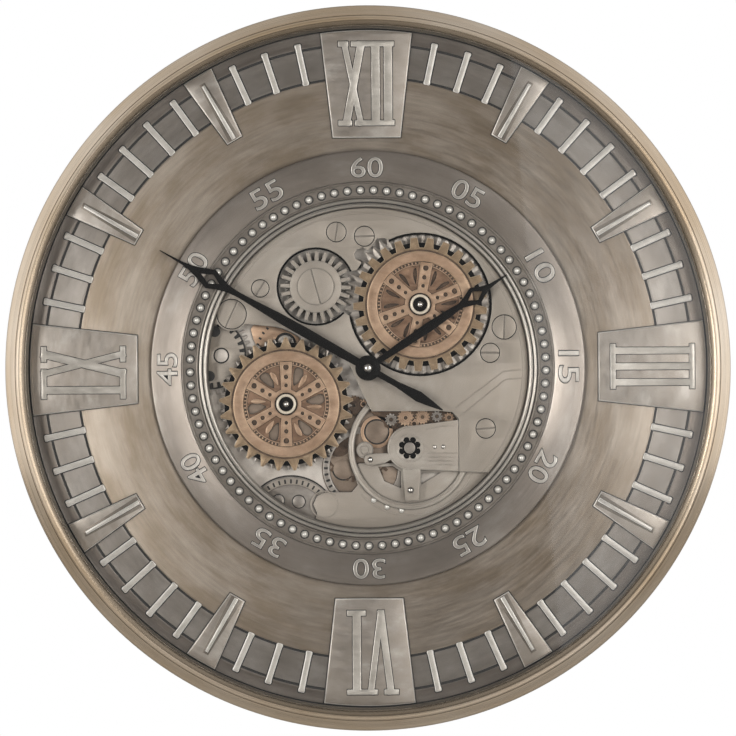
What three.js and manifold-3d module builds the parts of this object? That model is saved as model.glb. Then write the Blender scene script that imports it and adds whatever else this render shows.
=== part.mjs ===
// Gear wall clock, 600 mm across, as an assembly of separate pieces.
// The clock is drawn in its face plane: x to the right, y up, z from the wall towards the viewer, with the
// hands' axis at x = y = 0 and the wall at z = 0. One group then stands it up, so that the face looks
// along -Y, and puts the origin on the flat back of the hanger.
import * as THREE from "three";
import { mergeVertices } from "three/addons/utils/BufferGeometryUtils.js";
import Module from "manifold-3d";

const wasm = await Module();
wasm.setup();

// Clearances
const seat = 0.3; // left between a piece and the one that it rests on
const ringSegments = 40; // sides of the large rings
const flatShare = Math.cos(Math.PI / ringSegments); // how near a ring's flat sides come, over its radius
const running = 0.3; // round a shaft that turns

// Case: drum, bezel, glass
const clockRadius = 300;
const sheet = 1.5;
const bezelWall = 1.6;
const bezelWidth = 16.8; // from the outer edge to the lip
const bezelCrest = 11.7; // height of the crest over the glass
const bezelSkirt = 46;
const drumDepth = 47.4;
const rearFlangeWidth = 36;
const frontFlangeWidth = 17;
const hangerThick = 2.7;
const hangerWidth = 60;
const hangerHeight = 62;
const hangerOverlap = 24; // how far the hanger reaches up over the drum's flange
const keyholeRadius = 5.5;
const keyholeSlot = 5;
const keyholeDrop = 30; // from the hanger's reference point down to the keyhole
const keyholeRise = 10; // from the keyhole's centre to the top of its slot
const bumperWidth = 24;
const bumperHeight = 14;
const bumperAngle = 30; // each side of six o'clock
const glassThick = 3;
const glassSeatWall = 3.3;
const glassSeatHeight = 12.2;

// Dial
const dialThick = 1.5;
const dialLap = 5; // how far the dial reaches in over the pan's wall
const tickLength = 36;
const tickMargin = 6.8; // from a tick's outer end to the outer end of the hour marks
const tickWidth = 5.6;
const tickRise = 1.6;
const batonGap = 38.6; // from the minute ring out to the batons
const batonInnerWidth = 14.2;
const batonOuterWidth = 26.7;
const batonThick = 2.6;
const ridgeWidth = 4.5;
const ridgeMargin = 9.5; // flat left outside a ridge or a numeral
const ridgeRise = 1.2;
const plateGap = 11; // from the minute ring out to the numeral plates
const plateInnerWidth = 56.4;
const plateOuterWidth = 76;
const plateThick = 2.4;
const numeralMargin = 10; // flat left inside a numeral
const numeralRise = 1.3;
const serifHeight = 4.3;

// Pan that holds the mechanism, and the rings round it from the pan outwards
const panRadius = 141;
const panFlange = 9;
const panSheet = 2;
const panDepth = 16.4;
const trimLap = 7.6; // from the pan's wall in to the bore of the trim ring
const trimSleeve = 2.3;
const trimStep = 0.5; // trim ring's edge inside the bead ring's
const trimHeight = 2.4;
const beadInner = panRadius;
const beadRingWidth = 13.8;
const beadOffset = 6.4; // circle of the beads from the ring's inner edge
const beadRadius = 2.9;
const beadCount = 85;
const beadRingThick = 1.4;
const minuteInner = beadInner + beadRingWidth;
const minuteWidth = 25;
const minuteOuter = minuteInner + minuteWidth;
const minuteHeight = 4;
const minuteLip = 1.8; // how much lower the inner edge is
const batonInner = minuteOuter + batonGap;
const plateInner = minuteOuter + plateGap;
const dialHole = panRadius - dialLap;
const trimInner = panRadius - trimLap;
const trimOuter = panRadius - trimStep;
const plateRadius = trimInner * flatShare - seat;

// The mechanism's places and outlines are laid out for plates of 132.69, and keep to the plates' radius
const fit = plateRadius / 132.69;
const fitted = (points) => points.map(([x, y]) => [fit * x, fit * y]);

// Gears. The upper and lower wheels each carry a bronze show wheel in front.
const moduleSize = 2.2805 * fit;
const addendum = 0.9; // in modules, as the next two
const dedendum = 1.8;
const tipThick = 0.4;
const upperTeeth = 53;
const sideTeeth = 24;
const pinionTeeth = 14;
const lowerTeeth = 46;
const [upperX, upperY] = [43.5 * fit, 52.5 * fit];
const [lowerX, lowerY] = [-68 * fit, -29.5 * fit];
const sideBearing = 170; // direction from the upper wheel to the side wheel, degrees from +x
const carrierThick = 4;
const carrierLift = 3; // carrier wheels over the pan's floor
const showLift = 3; // show wheels over the carriers
const showThick = 4;
const showTeeth = 25;
const showTip = 55.5 * fit;
const showRoot = 48.6 * fit;
const rimInner = 35.5 * fit;
const webDrop = 1.5;
const hubBoss = 13;
const spokeCount = 6;
const spokeWidth = 9;
const arborRadius = 4;
const bossRadius = 8;
const capRadius = 9.3;
const capHeight = 3.6;
const sideThick = 6.6;
const sideLift = 5.4; // clear of the drive pinion behind it
const sideFaceRise = 0.6;
const sideScrewRadius = 15;
const pinionThick = 3;
const pinionLift = 2;
const pinionShaft = 2.5;

// Plates over the gears
const bridgeThick = 3;
const bridgeLift = 8.5; // underside over the pan's floor
const upperRecess = 59.5 * fit;
const sideRecess = 32.5 * fit;
const lowerPlateThick = 3;
const [balanceX, balanceY] = [34.2 * fit, -66.5 * fit];
const balanceOuter = 51 * fit;
const balanceInner = 46 * fit;
const balanceThick = 3.2;
const cockHead = 18.5 * fit;
const cockSplit = 75 * fit; // edge that the bridge and the cock share
const [regulatorX, regulatorY] = [-3 * fit, -68 * fit];
const regulatorRadius = 7;
const studRadius = 3;
const studHeight = 4; // of the post under the regulator
const rosetteRadius = 8.6;
const postRadius = 4.5;
const screwShank = 2.5;
const screwHeadThick = 1.5;
const slotWidth = 1.4;
const slotDepth = 0.7;

// Hands
const hourLength = 138.5;
const hourEye = 31.5; // from a hand's tip back to the middle of its eye
const hourEyeHalf = 7;
const minuteLength = 198;
const minuteEye = 48.5;
const minuteEyeHalf = 8.5;
const minuteTail = 71;
const handThick = 1.5;
const hourLift = 8.5; // hour hand over the bridge
const handGap = 2; // between the two hands
const hourAngle = 56.4; // clockwise from twelve
const minuteAngle = 299.8;
const hubRadius = 10.5;
const hourTubeRadius = 2.6;
const hourTubeWall = 0.9;
const minuteShaftRadius = 1.3;
const handCapRadius = 3.6;
const bushingRadius = 4;
const nutAcross = 13;
const nutHeight = 2.4;

// Clockwork, motor and batteries behind the pan
const movementWidth = 56;
const movementDepth = 16;
const movementTop = 12; // case edge above the hands' axis
const knobRadius = 6.5;
const knobHeight = 4;
const knobX = 9;
const knobY = -7;
const cellRadius = 7.2;
const cellLength = 49.6;
const cellSpace = 0.5; // all round a cell in its bay
const motorWidth = 30;
const motorHeight = 26;
const motorDepth = 18;
const boxWall = 1.6;
const boxX = 40;
const boxY = -74;
const coverThick = 1.6;
const switchBlock = 10;
const switchWidth = 4;
const switchLength = 5;
const switchHeight = 2.4;

// Heights worked out from the wall forwards
const drumRear = hangerThick + seat;
const dialSeat = drumRear + drumDepth;
const dialBack = dialSeat + seat;
const dialFront = dialBack + dialThick;
const glassBack = dialFront + seat + glassSeatHeight + seat;
const glassFront = glassBack + glassThick;
const crest = glassFront + bezelCrest;
const panTop = dialBack - seat;
const panBack = panTop - panDepth;
const panFloor = panBack + panSheet;
const carrierBack = panFloor + carrierLift;
const carrierFront = carrierBack + carrierThick;
const sideBack = panFloor + sideLift;
const sideFront = sideBack + sideThick;
const pinionBack = panFloor + pinionLift;
const showBack = carrierFront + showLift;
const showFront = showBack + showThick;
const bridgeBack = panFloor + bridgeLift;
const bridgeFront = bridgeBack + bridgeThick;
const lowerPlateFront = panFloor + seat + lowerPlateThick;
const hourBack = bridgeFront + hourLift;
const minuteBack = hourBack + handThick + handGap;
const rearFace = panBack - seat; // front of what is mounted behind the pan
const movementBack = rearFace - movementDepth;

// Radii worked out from the same sizes
const drumOuter = clockRadius - bezelWall - seat;
const lipRadius = clockRadius - bezelWidth;
const glassRadius = lipRadius + 1.4;
const bezelInner = glassRadius + seat;
const glassSeatInner = glassRadius - glassSeatWall;
const dialRadius = drumOuter - sheet - seat;
const pitch = (teeth) => (teeth * moduleSize) / 2;
const markerOuter = glassSeatInner * flatShare - seat; // where batons and numeral plates end
const tickOuter = markerOuter - tickMargin;
const ridgeOuter = markerOuter - ridgeMargin;
const numeralInner = plateInner + numeralMargin;
const numeralOuter = ridgeOuter;
const hangY = drumOuter - hangerOverlap; // height of the origin over the hands' axis

// Where the side wheel and the drive pinion sit, from the pitch circles
const radians = (degrees) => (degrees * Math.PI) / 180;
const sideReach = pitch(upperTeeth) + pitch(sideTeeth);
const sideX = upperX + sideReach * Math.cos(radians(sideBearing));
const sideY = upperY + sideReach * Math.sin(radians(sideBearing));
const toUpper = pitch(upperTeeth) + pitch(pinionTeeth);
const toLower = pitch(lowerTeeth) + pitch(pinionTeeth);
const span = Math.hypot(upperX - lowerX, upperY - lowerY);
const alongSpan = (toUpper ** 2 - toLower ** 2 + span ** 2) / (2 * span);
const offSpan = Math.sqrt(toUpper ** 2 - alongSpan ** 2);
const spanX = (lowerX - upperX) / span;
const spanY = (lowerY - upperY) / span;
const pinionX = upperX + alongSpan * spanX + offSpan * spanY;
const pinionY = upperY + alongSpan * spanY - offSpan * spanX;

// Screws in the bridge plate: place, head radius, direction of the slot
const plateScrews = [
  { at: [-25.6, 112.9], head: 7.9, slot: 82 },
  { at: [-2.4, 109.3], head: 8, slot: 2 },
  { at: [-88.9, 66.5], head: 7, slot: 60 },
  { at: [-112.9, 45.3], head: 12, slot: 65 },
  { at: [113.1, 33.3], head: 9.8, slot: 88 },
  { at: [101.3, 12], head: 7.7, slot: 0 },
  { at: [97.3, -50.7], head: 7.8, slot: 5 },
].map(({ at: [x, y], head, slot }) => ({ x: fit * x, y: fit * y, head: fit * head, slot }));

const finish = (color, roughness, metalness) => new THREE.MeshStandardMaterial({ color, roughness, metalness });
const champagne = finish(0xb59c76, 0.35, 0.9);
const pewter = finish(0x938a7e, 0.45, 0.85);
const paleSteel = finish(0xaaa297, 0.4, 0.85);
const brightSteel = finish(0xc9c4bd, 0.2, 0.95);
const bronze = finish(0xb38b66, 0.45, 0.8);
const greyWheel = finish(0x8b8680, 0.45, 0.85);
const blackSteel = finish(0x1b1917, 0.4, 0.5);
const brass = finish(0xb59a55, 0.35, 0.9);
const blackPlastic = finish(0x202022, 0.6, 0);
const rubber = finish(0x2c2c2c, 0.85, 0);
const cellSleeve = finish(0x4a6a4c, 0.4, 0.2);
const clearGlass = new THREE.MeshStandardMaterial({ color: 0xf4f8f6, transparent: true, opacity: 0.15 });

const face = new THREE.Group();
face.rotation.x = Math.PI / 2;
face.position.z = -hangY;

// Turns a closed geometry into a solid that can be cut and joined.
function solid(geometry) {
  const bare = new THREE.BufferGeometry();
  bare.setAttribute("position", geometry.getAttribute("position"));
  if (geometry.index) bare.setIndex(geometry.index);
  const merged = mergeVertices(bare, 1e-4);
  const index = merged.index.array;
  const kept = [];
  for (let i = 0; i < index.length; i += 3) {
    const [a, b, c] = index.subarray(i, i + 3);
    if (a !== b && b !== c && c !== a) kept.push(a, b, c);
  }
  const vertProperties = new Float32Array(merged.getAttribute("position").array);
  return new wasm.Manifold(new wasm.Mesh({ numProp: 3, vertProperties, triVerts: new Uint32Array(kept) }));
}

function meshGeometry(body) {
  const mesh = body.getMesh();
  const geometry = new THREE.BufferGeometry();
  geometry.setAttribute("position", new THREE.BufferAttribute(mesh.vertProperties, 3));
  geometry.setIndex(new THREE.BufferAttribute(mesh.triVerts, 1));
  geometry.computeVertexNormals();
  return geometry;
}

function piece(name, body, material, x = 0, y = 0, turn = 0) {
  const mesh = new THREE.Mesh(meshGeometry(body), material);
  mesh.name = name;
  mesh.position.set(x, y, 0);
  mesh.rotation.z = turn;
  face.add(mesh);
}

function joined(bodies) {
  return bodies.reduce((whole, body) => whole.add(body));
}

// A profile of [radius, z] points, anticlockwise when radius runs right and z up, turned about the z axis.
function turned(profile, segments = ringSegments) {
  const points = [...profile, profile[0]].map(([r, z]) => new THREE.Vector2(r, z));
  return solid(new THREE.LatheGeometry(points, segments).rotateX(Math.PI / 2));
}

function band(inner, outer, back, front, segments = ringSegments) {
  return turned([[inner, back], [outer, back], [outer, front], [inner, front]], segments);
}

function disc(x, y, radius, back, front, segments = 24) {
  const cylinder = new THREE.CylinderGeometry(radius, radius, front - back, segments);
  return solid(cylinder.rotateX(Math.PI / 2).translate(x, y, (front + back) / 2));
}

function block(x0, x1, y0, y1, back, front) {
  const box = new THREE.BoxGeometry(x1 - x0, y1 - y0, front - back);
  return solid(box.translate((x0 + x1) / 2, (y0 + y1) / 2, (back + front) / 2));
}

function outline(points) {
  return new THREE.Shape(points.map(([x, y]) => new THREE.Vector2(x, y)));
}

function slab(shape, back, front, curveSegments = 8) {
  const options = { depth: front - back, bevelEnabled: false, curveSegments };
  return solid(new THREE.ExtrudeGeometry(shape, options).translate(0, 0, back));
}

function bar(x0, y0, x1, y1, width, back, front) {
  const length = Math.hypot(x1 - x0, y1 - y0);
  const nx = (-(y1 - y0) / length) * (width / 2);
  const ny = ((x1 - x0) / length) * (width / 2);
  return slab(outline([[x0 - nx, y0 - ny], [x1 - nx, y1 - ny], [x1 + nx, y1 + ny], [x0 + nx, y0 + ny]]), back, front);
}

// Outline of a toothed wheel: each tooth has a root, flanks and a flat tip. first is the angle of one tooth.
function toothedShape(teeth, root, tip, rootShare, tipShare, first = 0) {
  const step = (2 * Math.PI) / teeth;
  const points = [];
  for (let i = 0; i < teeth; i++) {
    for (const [radius, share] of [[root, -rootShare], [tip, -tipShare], [tip, tipShare], [root, rootShare]]) {
      const angle = first + step * (i + share / 2);
      points.push([radius * Math.cos(angle), radius * Math.sin(angle)]);
    }
  }
  return outline(points);
}

// A wheel of the driven train: teeth with straight flanks down to a V between them, thinner than half the
// pitch, so that the mesh runs free.
function trainShape(teeth, first) {
  const step = (2 * Math.PI) / teeth;
  const root = pitch(teeth) - dedendum * moduleSize;
  const tip = pitch(teeth) + addendum * moduleSize;
  const half = (tipThick * moduleSize) / 2 / tip;
  const points = [];
  for (let i = 0; i < teeth; i++) {
    for (const [radius, offset] of [[root, -step / 2], [tip, -half], [tip, half]]) {
      const angle = first + step * i + offset;
      points.push([radius * Math.cos(angle), radius * Math.sin(angle)]);
    }
  }
  return outline(points);
}

// Angle of one tooth of the second wheel that meshes with the first; bearing runs from the first to it.
function meshedTooth(bearing, first, teeth, otherTeeth) {
  return bearing + Math.PI - ((first - bearing) * teeth) / otherTeeth + Math.PI / otherTeeth;
}

// Case

function makeBezel() {
  const foot = dialFront + seat;
  const skirtEnd = crest - bezelSkirt;
  const middle = (clockRadius + lipRadius) / 2;
  return turned([
    [clockRadius, skirtEnd],
    [clockRadius, crest - 13],
    [clockRadius - 2.2, crest - 6],
    [middle, crest],
    [lipRadius + 2.4, crest - 2.6],
    [lipRadius, crest - 7.4],
    [lipRadius, glassFront + seat],
    [bezelInner, glassFront + seat],
    [bezelInner, foot],
    [bezelInner + bezelWall, foot],
    [bezelInner + bezelWall, crest - 6.5],
    [clockRadius - 3.9, crest - 7],
    [clockRadius - bezelWall, crest - 13],
    [clockRadius - bezelWall, skirtEnd],
  ]);
}

function makeDrum() {
  const inner = drumOuter - sheet;
  return turned([
    [drumOuter - rearFlangeWidth, drumRear],
    [drumOuter, drumRear],
    [drumOuter, dialSeat],
    [drumOuter - frontFlangeWidth, dialSeat],
    [drumOuter - frontFlangeWidth, dialSeat - sheet],
    [inner, dialSeat - sheet],
    [inner, drumRear + sheet],
    [drumOuter - rearFlangeWidth, drumRear + sheet],
  ]);
}

// The keyhole opens upwards from a round hole that the screw's head passes.
function makeHanger() {
  const half = hangerWidth / 2;
  const top = hangY + hangerOverlap - 6;
  const plate = slab(outline([
    [-half, top - hangerHeight], [half, top - hangerHeight], [half, top - 8], [half - 8, top],
    [8 - half, top], [-half, top - 8],
  ]), 0, hangerThick);
  const holeY = hangY - keyholeDrop;
  const hole = disc(0, holeY, keyholeRadius, -1, hangerThick + 1, 20);
  const slot = block(-keyholeSlot / 2, keyholeSlot / 2, holeY, holeY + keyholeRise, -1, hangerThick + 1);
  return plate.subtract(hole.add(slot));
}

function makeBumper() {
  const radius = drumOuter - rearFlangeWidth / 2;
  const half = bumperWidth / 2;
  return block(-half, half, -radius - bumperHeight / 2, -radius + bumperHeight / 2, 0, hangerThick);
}

// Dial

function makeDial() {
  const plate = band(dialHole, dialRadius, dialBack, dialFront);
  const tick = bar(0, tickOuter - tickLength, 0, tickOuter, tickWidth, dialBack + 0.5, dialFront + tickRise);
  const ticks = [];
  for (let minute = 0; minute < 60; minute++) {
    const step = minute % 15;
    const covered = step < 2 || step > 13 || minute % 5 === 0;
    if (!covered) ticks.push(tick.rotate([0, 0, 6 * minute]));
  }
  return joined([plate, ...ticks]);
}

// Outline of a marker that widens outwards and ends on the circle round the dial.
function markerShape(inner, innerWidth, outerWidth) {
  const half = Math.asin(outerWidth / 2 / markerOuter);
  const shape = new THREE.Shape();
  shape.moveTo(-innerWidth / 2, inner);
  shape.lineTo(innerWidth / 2, inner);
  shape.absarc(0, 0, markerOuter, Math.PI / 2 - half, Math.PI / 2 + half, false);
  return shape;
}

function makeBaton() {
  const back = dialFront + seat;
  const body = slab(markerShape(batonInner, batonInnerWidth, batonOuterWidth), back, back + batonThick, 3);
  const ridge = bar(0, batonInner + 1, 0, ridgeOuter, ridgeWidth, back + 1, back + batonThick + ridgeRise);
  return body.add(ridge);
}

// Strokes of a numeral in the plate's own frame, where y runs outwards.
const numeralBack = dialFront + seat + 1;
const numeralFront = dialFront + seat + plateThick + numeralRise;
const upright = (x, width) => bar(x, numeralInner, x, numeralOuter, width, numeralBack, numeralFront);
const stroke = (x0, x1, width) => bar(x0, numeralInner, x1, numeralOuter, width, numeralBack, numeralFront);
const serif = (x0, x1, top) => {
  const low = top ? numeralOuter - serifHeight : numeralInner;
  return block(x0, x1, low, low + serifHeight, numeralBack, numeralFront);
};

function crossStrokes(x, half) {
  return [stroke(x + half, x - half, 4.9), stroke(x - half, x + half, 6.3)];
}

const numerals = {
  xii: [
    ...crossStrokes(-10.9, 6.7), upright(7.7, 6.8), upright(18, 6.8),
    serif(-23.3, -14.6, true), serif(-12.6, 22.9, true), serif(-23.3, -12, false), serif(-9.6, 23.2, false),
  ],
  iii: [
    upright(-13.1, 5.4), upright(0, 5.4), upright(13.1, 5.4), serif(-18.7, 18.7, true), serif(-18.7, 18.7, false),
  ],
  vi: [
    stroke(-9.3, -17.9, 5.6), stroke(-9.5, -0.6, 5), upright(10.6, 6.8),
    serif(-24, -12.2, true), serif(-6.4, 18.6, true), serif(3.2, 18.6, false),
  ],
  ix: [
    upright(-17, 5.8), ...crossStrokes(4.8, 8.6),
    serif(-24.3, 0.5, true), serif(6.4, 19.2, true), serif(-24.3, 0.5, false), serif(6.4, 19.2, false),
  ],
};

function makeNumeralPlate(strokes) {
  const back = dialFront + seat;
  const plate = slab(markerShape(plateInner, plateInnerWidth, plateOuterWidth), back, back + plateThick, 6);
  return joined([plate, ...strokes]);
}

function makeMinuteRing() {
  const back = dialFront + seat;
  return turned([
    [minuteInner, back],
    [minuteOuter, back],
    [minuteOuter, back + minuteHeight],
    [minuteInner, back + minuteHeight - minuteLip],
  ]);
}

function makeBeadRing() {
  const back = dialFront + seat;
  const front = back + beadRingThick;
  const ring = band(beadInner, minuteInner - seat, back, front);
  const bead = turned([[0, front - 0.5], [beadRadius + 0.4, front - 0.5], [0, front + 2.4]], 4);
  const beads = [];
  for (let i = 0; i < beadCount; i++) {
    const angle = ((i + 0.5) * 2 * Math.PI) / beadCount;
    beads.push(bead.translate([0, beadInner + beadOffset, 0]).rotate([0, 0, (angle * 180) / Math.PI]));
  }
  return joined([ring, ...beads]);
}

function makeTrimRing() {
  const flange = dialFront + seat;
  return turned([
    [trimInner, panFloor + seat],
    [trimInner + trimSleeve, panFloor + seat],
    [trimInner + trimSleeve, flange],
    [trimOuter, flange],
    [trimOuter - 1.5, flange + trimHeight],
    [trimInner + 1, flange + trimHeight],
  ]);
}

// Pan with its posts, bearings and the cast relief that shows between the wheels

function reliefWheel(x, y, radius, holes, segments = 24) {
  const edge = disc(0, 0, plateRadius - 1, -5, 5);
  let wheel = disc(fit * x, fit * y, fit * radius, panFloor - 1, panFloor + 2, segments);
  for (const [hx, hy, hole] of holes) {
    wheel = wheel.subtract(disc(fit * hx, fit * hy, fit * hole, panFloor + 0.6, panFloor + 4, 8));
  }
  return wheel.intersect(edge.translate([0, 0, panFloor]));
}

function makePan() {
  const inner = panRadius - sheet;
  const pan = turned([
    [0, panBack],
    [panRadius, panBack],
    [panRadius, panTop - sheet],
    [panRadius + panFlange, panTop - sheet],
    [panRadius + panFlange, panTop],
    [inner, panTop],
    [inner, panFloor],
    [0, panFloor],
  ]);
  const relief = [
    reliefWheel(-133, 27, 34, [[-124, 19.5, 5]]),
    reliefWheel(-67, -112, 19, [[-60, -107, 5], [-75, -107, 4]]),
    reliefWheel(7, -53, 12, [], 12),
    reliefWheel(-23, -82, 8, [], 12),
  ];
  const holes = [
    disc(upperX, upperY, arborRadius + running, panBack - 1, bridgeBack, 12),
    disc(lowerX, lowerY, arborRadius + running, panBack - 1, bridgeBack, 12),
    disc(sideX, sideY, arborRadius + running, panBack - 1, bridgeBack, 12),
    disc(pinionX, pinionY, pinionShaft + running, panBack - 1, bridgeBack, 12),
    disc(0, 0, bushingRadius + seat, panBack - 1, bridgeBack, 12),
  ];
  const bearings = [[upperX, upperY, carrierBack], [lowerX, lowerY, carrierBack], [sideX, sideY, sideBack]];
  const bosses = bearings.map(([x, y, top]) => disc(x, y, bossRadius, panFloor - 1, top - seat, 12));
  const postTop = bridgeBack - seat;
  const posts = plateScrews.map(({ x, y }) => disc(x, y, postRadius, panFloor - 1, postTop, 8));
  const threads = plateScrews.map(({ x, y }) => disc(x, y, screwShank + running, panFloor + 2, postTop + 1, 6));
  const cockPost = disc(balanceX + 24 * fit, balanceY, postRadius, panFloor - 1, postTop, 8);
  const studPost = disc(regulatorX, regulatorY, studRadius, panFloor - 1, panFloor + studHeight, 8);
  const body = joined([pan, ...relief, ...bosses, ...posts, cockPost, studPost]);
  return body.subtract(joined([...holes, ...threads]));
}

// Bridge plate: the large cover at the top and right, open round the upper and side wheels

function makeBridge() {
  const rim = disc(0, 0, plateRadius, bridgeBack, bridgeFront);
  const [, , , lobe] = plateScrews;
  const away = slab(outline(fitted([
    [-160, -160], [99, -160], [99, -87.2], [75, -86.2], [75, -42.5], [70, -37], [60, -36], [3, -36], [0, -31],
    [-12, -5], [-16, 5], [-45, 25], [-75, 34.5], [-101, 37], [-160, 37],
  ])), bridgeBack - 1, bridgeFront + 1);
  const opening = slab(outline(fitted([
    [-27, 46], [-20, 46.5], [-13, 42], [0, 42], [10, 80], [18, 105], [14, 108], [8, 107], [3, 100], [1, 97], [-4, 100],
    [-9, 97], [-10, 93], [-4, 88], [-6, 82], [-12, 79], [-20, 78], [-27, 75],
  ])), bridgeBack - 1, bridgeFront + 1);
  const recesses = [
    disc(upperX, upperY, upperRecess, bridgeBack - 1, bridgeFront + 1, 48),
    disc(sideX, sideY, sideRecess, bridgeBack - 1, bridgeFront + 1, 30),
    opening,
    disc(0, 0, bushingRadius + seat, bridgeBack - 1, bridgeFront + 1, 12),
    ...plateScrews.map(({ x, y }) => disc(x, y, screwShank + running, bridgeBack - 1, bridgeFront + 1, 6)),
  ];
  const ear = disc(lobe.x, lobe.y, lobe.head + 0.8, bridgeBack, bridgeFront, 24).intersect(rim);
  return rim.subtract(away).add(ear).subtract(joined(recesses));
}

// Lower plate: under the balance ring, along the bottom of the opening

function makeLowerPlate() {
  const back = panFloor + seat;
  const shape = outline(fitted([
    [-46, -113], [-43, -120], [-50, -150], [110, -150], [130, -88], [43, -84.5], [30, -84.5], [20, -79], [-8, -79],
    [-13, -84], [-9, -97], [-14, -103], [-36, -103], [-43, -106],
  ]));
  const rim = disc(0, 0, plateRadius, back, back + lowerPlateThick);
  const leftEdge = fitted([[8, -82], [20, -81.5], [27, -86], [27, -100], [13, -94]]);
  const leftOpening = slab(outline(leftEdge), back - 1, back + 5);
  const rightOpening = slab(outline(fitted([[43.5, -87], [43.5, -97], [60, -87]])), back - 1, back + 5);
  return slab(shape, back, back + lowerPlateThick).intersect(rim).subtract(leftOpening.add(rightOpening));
}

function makeBalanceRing() {
  const back = lowerPlateFront + seat;
  return band(balanceInner, balanceOuter, back, back + balanceThick, 36);
}

// Balance cock: a round head on a broad arm, with a short arm to the left and one downwards

function makeCock() {
  const [back, front] = [bridgeBack, bridgeFront];
  const split = cockSplit - seat;
  const arm = slab(outline([
    [balanceX, -48.4 * fit], [split, -43.3 * fit], [split, -86 * fit], [balanceX, -84.2 * fit],
  ]), back, front);
  const down = slab(outline(fitted([[27.6, -80], [43.4, -80], [41.8, -110], [30.2, -110]])), back, front);
  const left = slab(outline(fitted([[20, -70.5], [1.5, -71], [-2.5, -76], [1.5, -81], [18, -78]])), back, front);
  const head = disc(balanceX, balanceY, cockHead, back, front, 30);
  const pin = disc(34.8 * fit, -101.5 * fit, 2.4, front - 1, front + 1.6, 8);
  const stud = disc(1.4 * fit, -76 * fit, 2.2, front - 1, front + 1.4, 8);
  const rosette = toothedShape(8, rosetteRadius - 2.4, rosetteRadius, 0.9, 0.5, 0.3);
  const recess = slab(rosette, front - 1.6, front + 1).translate([balanceX, balanceY, 0]);
  return joined([arm, down, left, head, pin, stud]).subtract(recess);
}

function makeRegulator() {
  const back = panFloor + studHeight + seat;
  return disc(regulatorX, regulatorY, regulatorRadius, back, bridgeBack - seat, 16);
}

// A screw of the plate: domed head with a slot, and a shank that goes down into its post
function makeScrew(head, slot) {
  const under = bridgeFront + seat;
  const top = under + screwHeadThick;
  const body = disc(0, 0, head, under, top, 14).add(disc(0, 0, screwShank, bridgeBack - 4, under + 0.5, 6));
  const cut = bar(-head - 1, 0, head + 1, 0, slotWidth, top - slotDepth, top + 1).rotate([0, 0, slot]);
  return body.subtract(cut);
}

// Wheels

// One leaf-shaped opening of the web, right or left of the spoke that points along +y.
function leaf(side) {
  const points = fitted([[7.4, 28.6], [5.8, 19], [7.6, 15.2], [12, 20.5], [11.4, 27]]);
  const shaped = points.map(([x, y]) => [side * x, y]);
  return outline(side > 0 ? shaped.reverse() : shaped);
}

function makeShowWheel(leftLeaves) {
  const front = showFront;
  const shape = toothedShape(showTeeth, showRoot, showTip, 0.62, 0.2);
  const web = front - webDrop;
  let body = slab(shape, showBack, front);
  body = body.subtract(disc(0, 0, rimInner, web, front + 1, 36));
  const spokes = [];
  const cuts = [disc(0, 0, arborRadius + seat, showBack - 1, showFront + 1, 12)];
  for (let i = 0; i < spokeCount; i++) {
    const turn = (i * 360) / spokeCount;
    spokes.push(block(-spokeWidth / 2, spokeWidth / 2, 8, rimInner + 0.5, web - 0.5, front).rotate([0, 0, turn]));
    cuts.push(slab(leaf(-1), showBack - 1, front + 1).rotate([0, 0, turn]));
    if (leftLeaves) cuts.push(slab(leaf(1), showBack - 1, front + 1).rotate([0, 0, turn]));
  }
  const hub = disc(0, 0, hubBoss, web - 0.5, front, 20);
  return joined([body, hub, ...spokes]).subtract(joined(cuts));
}

// A carrier wheel has a boss in front that the show wheel rests on.
function makeCarrier(teeth, first) {
  const wheel = slab(trainShape(teeth, first), carrierBack, carrierFront);
  const boss = disc(0, 0, hubBoss - 1, carrierFront - 1, showBack - seat, 12);
  return wheel.add(boss).subtract(disc(0, 0, arborRadius + seat, carrierBack - 1, showBack + 1, 12));
}

function makeArbor() {
  const under = showFront + seat;
  return turned([
    [0, panBack - 3], [arborRadius, panBack - 3], [arborRadius, under], [capRadius, under],
    [capRadius, under + capHeight - 1.4], [7.6, under + capHeight], [5.4, under + capHeight - 1.4],
    [0, under + capHeight - 1.4],
  ], 20);
}

function makeSideWheel(first) {
  const root = pitch(sideTeeth) - dedendum * moduleSize;
  return joined([
    slab(trainShape(sideTeeth, first), sideBack, sideFront),
    disc(0, 0, root - 2, sideFront - 1, sideFront + sideFaceRise, 24),
  ]).subtract(disc(0, 0, arborRadius + running, sideBack - 1, sideFront + 1, 12));
}

// The shoulder screw that the side wheel turns on
function makeSideScrew() {
  const under = sideFront + sideFaceRise + seat;
  const top = under + screwHeadThick;
  const shank = disc(0, 0, arborRadius, panBack - 1, under + 0.5, 12);
  const body = disc(0, 0, sideScrewRadius, under, top, 24).add(shank);
  return body.subtract(bar(-16, 0, 16, 0, slotWidth, top - slotDepth, top + 1).rotate([0, 0, -75]));
}

function makePinion(first) {
  const wheel = slab(trainShape(pinionTeeth, first), pinionBack, pinionBack + pinionThick);
  return wheel.add(disc(0, 0, pinionShaft, rearFace + seat, pinionBack + 1, 12));
}

// Hands, drawn pointing to twelve

// Both edges of a hand from [distance along it, half width] pairs.
function handShape(edge) {
  const right = edge.map(([along, half]) => [half, along]);
  const left = [...edge].reverse().map(([along, half]) => [-half, along]);
  return outline([...right, ...left]);
}

// Eye of a hand: a pointed opening about its widest place.
function eyeShape(middle, half, width) {
  return outline([[0, middle - half], [width, middle], [0, middle + half], [-width, middle]]);
}

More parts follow.
